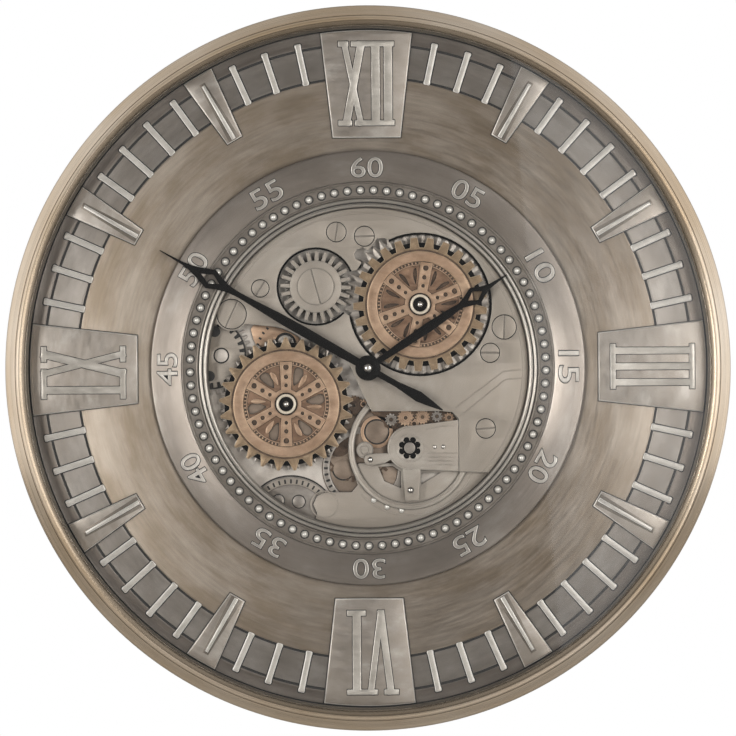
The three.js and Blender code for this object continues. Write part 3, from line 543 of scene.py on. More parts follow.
def add_piece(name, body, parts, replaces=(), at=(0.0, 0.0), degrees=0.0):
    """Joins parts, each a mesh and its material, into one piece in its place in the frame. Flat faces stay
    flat, and rounds are smooth up to a fold."""
    fold, flat = math.radians(40), 0.9999
    materials, shell = [], bmesh.new()
    for part, material in parts:
        if material not in materials:
            materials.append(material)
        first = len(shell.faces)
        shell.from_mesh(moved(part, *at, degrees))
        shell.faces.ensure_lookup_table()
        for polygon in shell.faces[first:]:
            polygon.material_index = materials.index(material)
    shell.transform(FACE)
    mesh = bpy.data.meshes.new(name)
    for material in materials:
        mesh.materials.append(material)
    shell.to_mesh(mesh)
    shell.free()
    for polygon in mesh.polygons:
        polygon.use_smooth = abs(polygon.normal.y) < flat
    mesh.set_sharp_from_angle(angle=fold)
    declared(name, mesh, body, replaces)


def softened(name, node, body, material, edge):
    """A copy of a CAD node with its edges rounded, in the node's place."""
    coplanar, corner, fold = math.radians(2), math.radians(35), math.radians(32)
    shell = bmesh.new()
    shell.from_mesh(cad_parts[node].data)
    bmesh.ops.remove_doubles(shell, verts=shell.verts, dist=1e-6)
    bmesh.ops.dissolve_limit(shell, angle_limit=coplanar, verts=shell.verts, edges=shell.edges)
    mesh = bpy.data.meshes.new(name)
    shell.to_mesh(mesh)
    shell.free()
    holder = bpy.data.objects.new(name, mesh)
    bpy.context.scene.collection.objects.link(holder)
    rounding = holder.modifiers.new("rounded edges", "BEVEL")
    rounding.width, rounding.segments, rounding.angle_limit = edge * MM, 2, corner
    bpy.context.view_layer.update()
    made = bpy.data.meshes.new_from_object(holder.evaluated_get(bpy.context.evaluated_depsgraph_get()))
    bpy.data.objects.remove(holder)
    made.name = name
    made.materials.clear()
    made.materials.append(material)
    for polygon in made.polygons:
        polygon.use_smooth = True
    made.set_sharp_from_angle(angle=fold)
    declared(name, made, body, [node])


# Finishes


def new_material(name):
    material = bpy.data.materials.new(name)
    material.use_nodes = True
    material.node_tree.nodes.clear()
    return material, partial(add_node, material.node_tree)


def aged_metal(
    name, colour, patina, rubbed, roughness, streaks, patches, crevice, edge_wear_and_sheen, metallic=0.85, turned=None,
    anisotropic=0.7,
):
    """Metal that was cast or pressed, darkened with patina, and rubbed back. Faces tilted from the clock's
    face, such as bevels, are lightened, partly as rubbed wear and partly as a painted edge highlight; corners
    are darkened, partly as patina and partly as painted shade. Streaks and patches are each a length and a
    width in mm and a strength, and run round the clock's axis at the radius given by turned, or straight
    across without it. A crevice is its width and its strength."""
    if name in bpy.data.materials:
        return bpy.data.materials[name]
    material, add = new_material(name)
    base = tuple(getattr(bpy.context.scene.clock_finishes, colour, ())) or linear(colour)
    to_mm, shift = (1000, 1000, 1000), (0, 0, -AXIS_HEIGHT / MM)
    local = add("ShaderNodeTexCoord", out="Object")
    local = add("ShaderNodeMapping", {"Vector": local, "Scale": to_mm, "Location": shift})
    if turned:
        flat = add(VECTOR, (local, (1, 0, 1)), operation="MULTIPLY")
        radius = add(VECTOR, (flat,), out="Value", operation="LENGTH")
        way = add(VECTOR, (flat,), operation="NORMALIZE")
        along, _, across = add("ShaderNodeSeparateXYZ", (way,), out=None).outputs
    patterns = []
    for length, width, _ in (streaks, patches):
        if turned:
            long_x = add(MATH, (along, turned / length), operation="MULTIPLY")
            long_z = add(MATH, (across, turned / length), operation="MULTIPLY")
            radial = add(MATH, (radius, 1 / width), operation="MULTIPLY")
            spot = add("ShaderNodeCombineXYZ", (long_x, radial, long_z))
        else:
            spot = add(VECTOR, (local, (1 / length, 1 / width, 1 / width)), operation="MULTIPLY")
        noise = {"Vector": spot, "Scale": 1.0, "Detail": 4.0, "Roughness": 0.6}
        patterns.append(add("ShaderNodeTexNoise", noise))
    streak_tone, patch_tone = patterns
    streak, patch = streaks[2], patches[2]
    # Faces tilted from the clock's face, such as bevels, lighten towards the rubbed colour: partly rubbed
    # wear, partly a painted edge highlight
    normal = add("ShaderNodeNewGeometry", out="Normal")
    facing = add(VECTOR, (normal, (0, 1, 0)), out="Value", operation="DOT_PRODUCT")
    facing = add(MATH, (facing,), operation="ABSOLUTE")
    # Occlusion darkens corners and the foot of walls towards near black: partly patina, partly painted shade
    hidden = add("ShaderNodeAmbientOcclusion", {"Distance": crevice[0] * MM}, out="AO", samples=6)
    shares = []
    for source, low, high, share in (
        (patch_tone, 0.38, 0.68, patch), (patch_tone, 0.46, 0.28, 0.5 * patch), (facing, 0.985, 0.86, 1.0),
        (facing, 0.1, 0.4, edge_wear_and_sheen), (hidden, 0.9, 0.35, crevice[1]),
    ):
        ramp = (source, low, high, 0.0, share)
        shares.append(add("ShaderNodeMapRange", ramp, interpolation_type="SMOOTHSTEP"))
    clouded, wiped, off_flat, off_wall, dark = shares
    lines = add("ShaderNodeMapRange", (streak_tone, 0.3, 0.7, 1 - streak, 1 + streak * 0.6))
    edges = add(MATH, (off_flat, off_wall), operation="MULTIPLY")
    aged, crevice_patina_and_shade = (*base, 1), "#1D1813"
    for share, over in ((clouded, patina), (wiped, rubbed), (lines, None), (edges, rubbed), (dark, crevice_patina_and_shade)):
        if over is None:
            aged = add(VECTOR, {0: aged, "Scale": share}, operation="SCALE")
        else:
            aged = add("ShaderNodeMix", {0: share, 6: aged, 7: (*linear(over), 1)}, out=2, data_type="RGBA")
    gloss = add("ShaderNodeMapRange", (streak_tone, 0.3, 0.7, roughness - 0.06, roughness + 0.08))
    covered = add(MATH, (edges, dark), operation="MAXIMUM")
    metal = add("ShaderNodeMapRange", (covered, 0.0, 1.0, metallic, metallic * 0.45))
    bump = add("ShaderNodeBump", {"Height": streak_tone, "Strength": 0.25, "Distance": 0.12 * MM})
    skin = {"Base Color": aged, "Metallic": metal, "Roughness": gloss, "Normal": bump}
    if turned:
        settings = {"vector_type": "VECTOR", "convert_from": "OBJECT", "convert_to": "WORLD"}
        skin["Tangent"] = add("ShaderNodeVectorTransform", (way,), **settings)
        skin["Anisotropic"] = anisotropic
    add("ShaderNodeOutputMaterial", (add("ShaderNodeBsdfPrincipled", skin),), out=None)
    return material


def plain_skin(name, colour, roughness, metallic=0.0, grain_mm=0.6, depth_mm=0.02, tint=0.12, specular=0.5):
    """A skin of one colour with a fine grain in its tone, gloss and surface."""
    if name in bpy.data.materials:
        return bpy.data.materials[name]
    material, add = new_material(name)
    base = tuple(getattr(bpy.context.scene.clock_finishes, colour, ())) or linear(colour)
    spot = add("ShaderNodeTexCoord", out="Object")
    grain = add("ShaderNodeTexNoise", {"Vector": spot, "Scale": 1 / (grain_mm * MM), "Detail": 3.0})
    cloud = add("ShaderNodeTexNoise", {"Vector": spot, "Scale": 45.0, "Detail": 3.0})
    tone = add("ShaderNodeMapRange", (cloud, 0.3, 0.7, 1 - tint, 1 + tint))
    skin = {
        "Base Color": add(VECTOR, {0: base, "Scale": tone}, operation="SCALE"), "Metallic": metallic,
        "Roughness": add("ShaderNodeMapRange", (grain, 0.3, 0.7, roughness - 0.05, roughness + 0.05)),
        "Normal": add("ShaderNodeBump", {"Height": grain, "Strength": 0.4, "Distance": depth_mm * MM}),
        "Specular IOR Level": specular,
    }
    add("ShaderNodeOutputMaterial", (add("ShaderNodeBsdfPrincipled", skin),), out=None)
    return material


def champagne_steel():
    # Spun steel rim under champagne lacquer: a warm satin with fine turning lines all round
    return aged_metal(
        "champagne lacquered steel", "champagne", "#A68C69", "#E0D6C8", 0.3, (200, 0.5, 0.12),
        (160, 40, 0.6), (1.5, 0.8), 0.1, turned=290, anisotropic=0.5,
    )


def shaded_lacquer():
    # Inner slope of the rim, in the same lacquer painted darker as shade
    return aged_metal(
        "pooled champagne lacquer", "#857766", "#6C5D49", "#BDB09E", 0.24, (200, 0.5, 0.08), (160, 40, 0.4),
        (1.5, 0.8), 0.1, turned=287, anisotropic=0.8,
    )


def antique_pewter():
    # Pressed sheet with a pewter wash, rubbed by hand round the dial: cloudy, with warm brown patches
    return aged_metal(
        "antique pewter sheet", "pewter", "#75644F", "#B5A99B", 0.36, (34, 2.2, 0.14), (62, 24, 0.6),
        (4.0, 0.6), 0.5, turned=210, anisotropic=0.4,
    )


def shaded_pewter():
    # The same wash left on thicker and greyer, in the track of the minute bars
    return aged_metal(
        "grey washed pewter", "#908982", "#7B7269", "#B5AEA6", 0.4, (20, 3, 0.08), (40, 24, 0.6),
        (5.0, 0.7), 0.5, turned=255,
    )


def border_pewter():
    # Outer border of the dial, painted darker as the rim's shadow over it
    return aged_metal(
        "washed pewter border", "#79716A", "#5E564E", "#A39B92", 0.4, (60, 1.0, 0.1), (60, 30, 0.6),
        (6.0, 0.6), 0.3, turned=275, anisotropic=0.4,
    )


def seat_olive():
    # Ring under the glass, in the case's lacquer, painted darker as the shade under the rim's lip
    return aged_metal(
        "olive lacquered seat", "#8E8477", "#756B5E", "#8C8272", 0.4, (60, 1, 0.08), (80, 20, 0.5),
        (1.0, 0.4), 0.2, turned=282,
    )


def dark_wash_and_shade():
    # Black-brown colour: in grooves, partly the wash that the rubbing leaves and partly painted shade; round
    # the foot of raised parts, under the beads and in the movement's gaps and slots, painted shadow
    return plain_skin("black brown wash", "#15110D", 0.6, tint=0.3)


def cast_nickel():
    # Die-cast marks plated in dull nickel and wiped: grey faces, edges lighter as rubbed wear and painted
    # highlight, corners darker as patina and painted shade
    return aged_metal(
        "cast dull nickel", "nickel", "#857A6D", "#EEE9E2", 0.36, (14, 5, 0.06), (34, 20, 0.4), (2.2, 0.7),
        1.0, turned=240, anisotropic=0.3,
    )


def shadowed_casting():
    # Hollows of the castings, painted brown-grey as the shade beside the hour marks' ridges
    return aged_metal(
        "washed casting hollow", "#756D64", "#5E564D", "#8E867C", 0.42, (14, 3, 0.1), (24, 12, 0.5),
        (1.4, 0.7), 0.4,
    )


def rubbed_nickel():
    # Numerals, the highest faces of their castings, rubbed bright
    return aged_metal(
        "rubbed bright nickel", "#C0B9B0", "#A59C91", "#F0EBE4", 0.34, (8, 4, 0.06), (18, 10, 0.4),
        (1.2, 0.5), 1.0,
    )


def white_nickel():
    # Minute bars, polished back to bright metal, and the ridges of the hour marks, where the same pale colour
    # is a painted highlight
    return aged_metal(
        "polished white nickel", "#C6C0B8", "#A69F95", "#FAF7F2", 0.34, (8, 4, 0.06), (18, 10, 0.15),
        (0.8, 0.3), 1.0, metallic=0.6,
    )


def number_silver():
    # Minute numbers, raised out of the ring and polished with it
    return aged_metal(
        "polished silver figures", "#BDB6AE", "#A69E95", "#F4F1EB", 0.34, (26, 2, 0.05), (60, 30, 0.4),
        (0.6, 0.3), 0.9, turned=167, anisotropic=0.6,
    )


def track_silver():
    # Minute ring, turned and brushed round in silver plate, so that light sweeps over it in fans
    return aged_metal(
        "brushed silver track", "#998F86", "#7E746A", "#CCC5BD", 0.34, (40, 1.0, 0.06), (60, 30, 0.5),
        (3.0, 0.6), 0.2, turned=167, anisotropic=0.8,
    )


def channel_grey():
    # Floor of the bead channel, left dark
    return aged_metal(
        "darkened bead channel", "#787068", "#5E564D", "#A8A198", 0.45, (8, 4, 0.08), (20, 10, 0.5),
        (2.0, 0.8), 0.5,
    )


def plate_silver():
    # Movement plates in nickel silver, turned about the clock's axis: pale and smooth with faint rings
    return aged_metal(
        "turned nickel silver plate", "#A2998F", "#91877B", "#CEC8BF", 0.48, (90, 1.4, 0.06), (70, 40, 0.5),
        (2.2, 0.7), 0.6, turned=110, anisotropic=0.0,
    )


def pan_grey():
    # Floor of the movement: the same plate, duller between the wheels
    return aged_metal(
        "dulled steel pan", "#CDC4BB", "#ABA095", "#D5CEC5", 0.45, (9, 6, 0.08), (22, 16, 0.6), (2.5, 0.6),
        0.6, metallic=0.5,
    )


def pearl_nickel():
    # Pressed beads, silver plated and lacquered: pearly domes that catch the light all over
    return aged_metal(
        "lacquered silver bead", "#E6E2DA", "#CFC9BF", "#F6F3EE", 0.3, (8, 4, 0.04), (12, 8, 0.3),
        (0.8, 0.5), 0.1, metallic=0.45,
    )


def trim_silver():
    # Turned trim in satin silver plate
    return aged_metal(
        "satin silver trim", "#B3ACA3", "#9B9389", "#D6D0C8", 0.33, (60, 3, 0.04), (60, 10, 0.3),
        (1.2, 0.8), 0.2, turned=137,
    )


def bright_nickel():
    # Cap nut, hub pins and small studs in polished nickel: small hot highlights over dark reflections
    return aged_metal(
        "polished nickel trim", "#CFCAC3", "#B2ABA1", "#E0DCD5", 0.25, (8, 4, 0.05), (12, 8, 0.3),
        (1.4, 0.9), 0.1, metallic=1.0,
    )


def aged_bronze():
    # Cast bronze wheels, darker in every corner as a brown wash and painted shade
    return aged_metal(
        "aged cast bronze", "bronze", "#86694F", "#D3B898", 0.42, (7, 3.5, 0.1), (14, 9, 0.5), (1.8, 0.9),
        0.7, metallic=0.7,
    )


def tan_bronze():
    # Teeth of the show wheels, where handling left the bronze dull and greyish
    return aged_metal(
        "dull tan bronze", "#8F7960", "#77634D", "#C9B498", 0.45, (6, 3, 0.14), (8, 6, 0.6), (1.6, 0.9),
        0.8, metallic=0.65,
    )


def web_bronze():
    # Recessed web of the show wheels, painted darker as the shade in the recess, so that the spokes stand out
    return aged_metal(
        "browned bronze web", "#80644F", "#5E4533", "#AD8D70", 0.46, (7, 3.5, 0.14), (12, 8, 0.6),
        (1.6, 0.9), 0.7, metallic=0.6,
    )


def dark_bronze():
    # The same bronze, darker; on the show wheels it is painted shade in their holes, behind their windows and
    # at their joints
    return aged_metal(
        "brown washed bronze", "#5A4636", "#382A1F", "#96775A", 0.5, (5, 3, 0.2), (8, 6, 0.6), (2.0, 0.8),
        0.6, metallic=0.5,
    )


def wheel_grey():
    # Working wheels in stamped steel, grey, with corners darkened as brown patina and painted shade
    return aged_metal(
        "stamped grey steel", "#928B84", "#766B60", "#BDB7AE", 0.42, (8, 4, 0.08), (16, 12, 0.5),
        (1.8, 0.85), 0.8,
    )


def shadowed_steel():
    # Inner faces of the stamped wheels, painted dark as the shade in the gaps between the teeth above them
    return aged_metal(
        "oiled dark steel", "#4A453F", "#37322C", "#6E6860", 0.45, (8, 4, 0.1), (16, 12, 0.5), (1.8, 0.85),
        0.6,
    )


def umber_pan():
    # Brown-grey hollow behind the balance
    return aged_metal(
        "brown grey casting", "#857567", "#66584B", "#A0907F", 0.48, (9, 6, 0.1), (20, 14, 0.6), (3.0, 0.8),
        0.5, metallic=0.7,
    )


def raw_brass():
    # Turned brass of the hands' tubes, their nut and the pinion's shaft
    return aged_metal(
        "turned brass", "#85734F", "#5F4E34", "#A8966C", 0.38, (6, 1, 0.1), (10, 8, 0.3), (1.6, 0.8), 0.4,
        metallic=0.9,
    )


def black_steel():
    # Hands and hub rings in satin black enamel over steel; the same black is painted shadow behind the
    # bridge's openings, round its screws, under the cock and on the working wheels
    return plain_skin("satin black enamel", "blacking", 0.34, grain_mm=0.5, depth_mm=0.01, specular=0.08)


def ivory_ring():
    # Hub rings in old ivory-coloured lacquer
    return plain_skin("ivory lacquer", "#E3D7C4", 0.3, metallic=0.2, tint=0.06)


def moulded_black():
    # Injection-moulded ABS of the clockwork and battery box, with a fine spark-eroded grain
    return plain_skin("moulded black abs", "#1C1C1E", 0.55, grain_mm=0.5, depth_mm=0.03)


def soft_rubber():
    # Bumpers in moulded rubber: matt, with a slightly uneven bloom
    return plain_skin("moulded rubber", "#262626", 0.85, grain_mm=0.8, depth_mm=0.05)


def cell_film():
    # Plain shrink sleeve of a battery cell: thin glossy film over steel
    return plain_skin("green cell film", "#4F7353", 0.3, metallic=0.1, depth_mm=0.005)


def lens_glass():
    # Flat float glass: clear, with only a faint mirror of the room on it
    material, add = new_material("clear float glass")
    through = add("ShaderNodeBsdfTransparent", {"Color": (0.99, 0.99, 0.985, 1)})
    shine = add("ShaderNodeBsdfGlossy", {"Color": (1, 1, 1, 1), "Roughness": 0.02})
    share = add("ShaderNodeFresnel", {"IOR": 1.45})
    both = add("ShaderNodeMixShader", (share, through, shine))
    add("ShaderNodeOutputMaterial", (both,), out=None)
    return material


# Operators


class CLOCK_OT_case(bpy.types.Operator):
    """Rim, drum, wall plate and bumpers"""

    bl_idname = "clock.case"
    bl_label = "Case"

    def execute(self, context):
        sides = context.scene.clock_sizes.ring_sides
        steel = champagne_steel()
        outer, lip = CLOCK_RADIUS, CLOCK_RADIUS - 16.8
        rim = [
            (outer, RIM_BACK), (outer, CREST - 14.5), *arc(outer - 5.2, CREST - 13.2, 5.2, 8, 62, 6),
            (outer - 5.0, CREST - 5.6), (outer - 6.8, CREST - 2.8), (outer - 8.2, CREST - 1.6),
            (outer - 8.6, CREST - 1.9), (outer - 9.0, CREST - 0.9), (outer - 9.8, CREST - 0.1),
            *arc(lip + 5.6, CREST - 5.6, 5.6, 80, 176, 10), (lip, GLASS_FRONT + 0.3),
            (lip + 1.7, GLASS_FRONT + 0.3), (lip + 1.7, DIAL_FACE + 0.3), (lip + 3.3, DIAL_FACE + 0.3),
            (lip + 3.3, CREST - 7.4), (outer - 4.2, CREST - 8.2), (outer - 1.6, CREST - 13.5),
            (outer - 1.6, RIM_BACK),
        ]
        skin = arc(lip + 5.6, CREST - 5.6, 5.65, 100, 172)
        slope = skin + arc(lip + 5.6, CREST - 5.6, 5.2, 172, 100)
        # The slope's darker lacquer is painted shade on the rim's inner side
        parts = [(lathe(rim, sides), steel), (lathe(slope, sides), shaded_lacquer())]
        add_piece("spun_rim", "case", parts, ["bezel_ring"])
        back, front = depth("case_drum")
        wall, sheet = reach("case_drum"), 1.5
        drum = [
            (wall - 36, back), *arc(wall - 2, back + 2, 2, -90, 0, 4),
            *arc(wall - 1.2, front - 1.2, 1.2, 0, 90, 3), (wall - 17, front), (wall - 17, front - sheet),
            (wall - sheet, front - sheet), (wall - sheet, back + sheet), (wall - 35, back + sheet),
            (wall - 36, back + 0.9),
        ]
        add_piece("spun_drum", "case", [(lathe(drum, sides), steel)], ["case_drum"])
        softened("wall_plate", "hanger", "case", wheel_grey(), 0.4)
        for side in ("left", "right"):
            softened(f"bumper_{side}", f"wall_bumper_{side}", "case", soft_rubber(), 0.8)
        return {"FINISHED"}


class CLOCK_OT_glass(bpy.types.Operator):
    """Front glass and the ring that it sits on"""

    bl_idname = "clock.glass"
    bl_label = "Glass"

    def execute(self, context):
        sides = context.scene.clock_sizes.ring_sides
        radius, bevel = reach("glass_lens"), 0.5
        back, front = depth("glass_seat_ring")
        inner = radius - 3.3
        seat = [
            (inner, back), (radius, back), (radius, front), (inner + 0.9, front), (inner, front - 0.9),
            (inner, back + 7.6), (inner + 0.4, back + 7.2), (inner + 0.4, back + 6.6), (inner, back + 6.2),
        ]
        parts = [(lathe(seat, sides), seat_olive())]
        add_piece("seat_ring", "case", parts, ["glass_seat_ring"])
        lens = [
            (0, GLASS_BACK), (radius - bevel, GLASS_BACK), (radius, GLASS_BACK + bevel),
            (radius, GLASS_FRONT - bevel), (radius - bevel, GLASS_FRONT), (0, GLASS_FRONT),
        ]
        add_piece("front_glass", "case", [(lathe(lens, sides), lens_glass())], ["glass_lens"])
        return {"FINISHED"}


class CLOCK_OT_dial(bpy.types.Operator):
    """Dial sheet with its rails, and the minute bars between them"""

    bl_idname = "clock.dial"
    bl_label = "Dial"

    def execute(self, context):
        sizes = context.scene.clock_sizes
        wash_and_shade, bright, face, sides = dark_wash_and_shade(), white_nickel(), DIAL_FACE, sizes.ring_sides
        groove, bore, outer = face - 0.8, 136, reach("dial_plate")
        seam = groove - 0.2
        sheet = [
            (bore, DIAL_BACK), (outer - 0.4, DIAL_BACK), (outer, DIAL_BACK + 0.4), (outer, groove),
            (bore, groove),
        ]
        centre = [
            (bore, seam), (239.9, seam), (240.0, face + 0.1), (239.6, face + 0.4), (238.9, face + 0.4),
            (238.1, face), (bore, face),
        ]
        track = [
            (241.9, seam), (267.5, seam), (267.4, face - 0.1), (266.9, face + 0.2), (265.7, face),
            (243.9, face), (242.7, face + 0.2), (242.0, face - 0.1),
        ]
        border = [
            (269.5, seam), (280.5, seam), (280.4, face - 0.1), (280.1, face + 0.2), (279.2, face),
            (271.4, face), (270.7, face + 0.3), (270.0, face + 0.3), (269.5, face + 0.1),
        ]
        layers = (
            (sheet, shaded_pewter()), (centre, antique_pewter()), (track, shaded_pewter()),
            (border, border_pewter()),
        )
        parts = [(lathe(profile, sides), skin) for profile, skin in layers]
        # The dark bands in the grooves are partly wash and partly painted shade
        for rail, half in ((240.9, 1.2), (268.5, 1.2), (281.0, 0.5)):
            parts.append((band(rail - half, rail + half, groove - 0.1, groove + 0.1, sides), wash_and_shade))
        add_piece("dial_sheet", "case", parts, ["dial_plate"])
        half, end = sizes.tick_width / 2, 17.5
        flare = [(half - 0.6, end), (half + 0.1, end - 0.8), (half + 0.2, end - 2.2), (half - 0.1, end - 3.6)]
        side = [(x, -y) for x, y in flare] + flare[::-1]
        outline = side + [(-x, y) for x, y in side[::-1]]
        # Each bar stands on a painted shadow, a grown outline in the dark colour
        foot = plate([outline], face - 0.3, face + 0.2, 0.1, 1, grow=0.8)
        tick = plate([outline], face - 0.2, TICK_TOP, 0.8, 2)
        parts = [ring_of(foot, 60, TICK_CIRCLE, wash_and_shade, hour_gaps=True),
                 ring_of(tick, 60, TICK_CIRCLE, bright, hour_gaps=True)]
        add_piece("minute_bars", "case", parts)
        return {"FINISHED"}


# Strokes of each numeral, drawn at twelve: where each starts inside and ends outside, and its width, in mm.
# Serifs run from left to right, at the outer end or the inner
NUMERAL_INNER, NUMERAL_OUTER, SERIF = 200.8, 270.6, 4.3


def stroke(low, high, width):
    return bar(low, NUMERAL_INNER, high, NUMERAL_OUTER, width)


def serif(left, right, top):
    low = NUMERAL_OUTER - SERIF if top else NUMERAL_INNER
    return [(left, low), (right, low), (right, low + SERIF), (left, low + SERIF)]


NUMERALS = {
    "xii": [
        stroke(-4.2, -18.6, 4.6), stroke(-17, -3.8, 6.2), stroke(7.7, 7.7, 6.8), stroke(18, 18, 6.8),
        serif(-23.3, -14.8, True), serif(-12.6, 22.9, True), serif(-23.3, -12, False),
        serif(-9.6, 23.2, False),
    ],
    "iii": [
        stroke(-13.1, -13.1, 5.4), stroke(0, 0, 5.4), stroke(13.1, 13.1, 5.4), serif(-18.7, 18.7, True),
        serif(-18.7, 18.7, False),
    ],
    "vi": [
        stroke(-9.3, -17.9, 5.6), stroke(-9.5, -0.6, 5), stroke(10.6, 10.6, 6.8), serif(-24, -12.2, True),
        serif(-6.4, 18.6, True), serif(3.2, 18.6, False),
    ],
    "ix": [
        stroke(-17, -17, 5.8), stroke(13.4, -3.8, 4.9), stroke(-3.8, 13.4, 6.3), serif(-24.3, 0.5, True),
        serif(6.4, 19.2, True), serif(-24.3, 0.5, False), serif(6.4, 19.2, False),
    ],
}


def casting(outline, back, face):
    """A cast mark of the dial with its edges lightened as rubbed wear and painted highlight, over a painted
    shadow round its foot.
    """
    edge = bpy.context.scene.clock_sizes.cast_edge
    return [
        (plate([outline], back, back + 0.4, 0.1, 1, grow=0.6), dark_wash_and_shade()),
        (plate([outline], back, face, edge, 2), cast_nickel()),
    ]


class CLOCK_OT_numerals(bpy.types.Operator):
    """Four cast plates with raised numerals"""

    bl_idname = "clock.numerals"
    bl_label = "Numeral Plates"

    def execute(self, context):
        outline = marker(190.8, 56.4, 76, MARKER_END)
        for quarter, (name, strokes) in enumerate(NUMERALS.items()):
            back, top = depth(f"numeral_plate_{name}")
            face = top - 1.3
            parts = casting(outline, back, face) + [
                # Under the numerals, a grown dark outline is painted shadow round their strokes
                (plate(region(strokes), face - 0.4, face + 0.12, 0.05, 1, grow=0.55), dark_wash_and_shade()),
                (plate(region(strokes), face - 0.4, top, 0.5, 2), rubbed_nickel()),
            ]
            node = f"numeral_plate_{name}"
            add_piece(f"cast_plate_{name}", "case", parts, [node], degrees=-90 * quarter)
        return {"FINISHED"}


class CLOCK_OT_batons(bpy.types.Operator):
    """Eight cast hour marks, each with a raised ridge"""

    bl_idname = "clock.batons"
    bl_label = "Hour Marks"

    def execute(self, context):
        outline = marker(218.4, 14.2, 26.7, MARKER_END)
        pocket = [(-4.9, 219.4), (4.9, 219.4), (2.6, 272.4), (-2.6, 272.4)]
        ridge = bar(0, 219.8, 0, 270.6, 3.7, 2.9)
        for hour in (1, 2, 4, 5, 7, 8, 10, 11):
            node = f"hour_baton_{hour}"
            back, top = depth(node)
            face = top - 1.2
            parts = casting(outline, back, face) + [
                # The dark pocket either side of the ridge is painted shade
                (plate([pocket], face - 0.6, face + 0.1, 0.05, 1), shadowed_casting()),
                # The ridge's pale colour is a painted highlight along its crest
                (plate([ridge], face - 0.6, top, 0.9, 2), white_nickel()),
            ]
            add_piece(f"cast_mark_{hour}", "case", parts, [node], degrees=-30 * hour)
        return {"FINISHED"}


class CLOCK_OT_track(bpy.types.Operator):
    """Minute ring with its raised numbers"""

    bl_idname = "clock.track"
    bl_label = "Minute Ring"

    def execute(self, context):
        back, high = depth("minute_ring")
        inner, outer, low = 154.8, 179.8, high - 1.8
        profile = [
            (inner, back), (outer, back), (outer, high - 1.2), *arc(outer - 1.2, high - 1.2, 1.2, 0, 90, 4),
            (inner + 1.0, low + 0.05), (inner, low - 0.5),
        ]
        ring = lathe(profile, context.scene.clock_sizes.ring_sides)
        add_piece("minute_track", "case", [(ring, track_silver())], ["minute_ring"])
        middle, slope, sunk = 166.2, (high - low) / (outer - inner), 0.4
        tall, wide = 16.6, 26.5
        rise = Matrix.Identity(4)
        rise[2][1], rise[2][3] = slope, low + slope * (middle - inner)
        parts = []
        for hour in range(12):
            text = f"{5 * hour or 60:02d}"
            # Each number sits on a grown dark copy of itself, a painted shadow outline
            for grow, top, material in ((0.45, 0.12, dark_wash_and_shade()), (0.0, 0.8, number_silver())):
                figures = number(text, tall, wide, -sunk, top, min(0.3, (top + sunk) / 2.2), grow)
                figures.transform(Matrix.Translation((0, middle, 0)) @ rise)
                parts.append((moved(figures, degrees=-30 * hour), material))
        add_piece("minute_numbers", "case", parts)
        return {"FINISHED"}


class CLOCK_OT_beads(bpy.types.Operator):
    """Ring of beads and the polished trim round the mechanism"""

    bl_idname = "clock.beads"
    bl_label = "Beads and Trim"

    def execute(self, context):
        sizes = context.scene.clock_sizes
        wash_and_shade, sides, round_sides = dark_wash_and_shade(), sizes.ring_sides, 16
        back, top = depth("bead_ring")
        floor = back + 1.0
        channel = [
            (141, back), (154.4, back), (154.4, floor + 0.7), (153.9, floor + 1.0), (153.1, floor + 0.9),
            (152.4, floor), (142.6, floor), (142.2, floor + 0.7), (141.5, floor + 0.9), (141, floor + 0.5),
        ]
        parts = [(lathe(channel, sides), channel_grey())]
        add_piece("bead_channel", "case", parts, ["bead_ring"])
        radius, count, rise = sizes.bead_radius, sizes.bead_count, top - floor
        dome = [(0, floor - 0.3), (radius, floor - 0.3)]
        dome += [(radius * math.cos(a), floor + rise * math.sin(a)) for a in (0.15, 0.5, 0.85, 1.2)]
        bead = lathe([*dome, (0, top)], round_sides)
        # A dark disc round each bead is its painted shadow
        painted_shadow_pool = band(0, radius + 1.0, floor - 0.2, floor + 0.08, round_sides)
        parts = [ring_of(painted_shadow_pool, count, BEAD_CIRCLE, wash_and_shade, first=math.pi / count),
                 ring_of(bead, count, BEAD_CIRCLE, pearl_nickel(), first=math.pi / count)]
        add_piece("beads", "case", parts)
        foot, top = depth("trim_ring")
        inner = 133.4
        groove = inner + 3.2
        trim = [
            (inner, foot), (inner + 2.3, foot), (inner + 2.3, back), (140.5, back),
            *arc(138.9, back + 0.4, 1.6, 0, 180), (groove, back + 0.2), (groove - 0.1, top - 0.8),
            *arc(inner + 1.5, top - 1.4, 1.4, 20, 180),
        ]
        # The dark line in the trim's groove is partly wash and partly painted shade
        line = band(groove - 0.1, 137.4, back, back + 0.45, sides)
        parts = [(lathe(trim, sides), trim_silver()), (line, wash_and_shade)]
        add_piece("trim", "case", parts, ["trim_ring"])
        return {"FINISHED"}


def hoop(x, y, outer, inner, sides=96):
    """Outline and cut of a flat ring, for region."""
    return [circle(outer, x, y, sides)], [circle(inner, x, y, sides)]


def slots(centre, radius, count, length, width, start, end, within):
    """Loops of short radial cuts round part of a ring, between two angles in degrees."""
    step = 360 / count
    cut = bar(radius - length / 2, 0, radius + length / 2, 0, width)
    turns = [step * i for i in range(count) if start <= step * i <= end]
    return region([turned_outline(cut, turn, *centre) for turn in turns], (), within)


def toothed_flat(centre, teeth, tip, root, root_share, tip_share, within, holes=()):
    """Loops of a cast toothed disc, kept inside the pan and with its holes."""
    step = 360 / teeth
    half_root, half_tip = root_share * step / 2, tip_share * step / 2
    outline = []
    for i in range(teeth):
        for radius, angle in ((root, -half_root), (tip, -half_tip), (tip, half_tip), (root, half_root)):
            turn = math.radians(i * step + angle)
            outline.append((centre[0] + radius * math.cos(turn), centre[1] + radius * math.sin(turn)))
    return region([outline], [circle(size, x, y, 32) for x, y, size in holes], within)


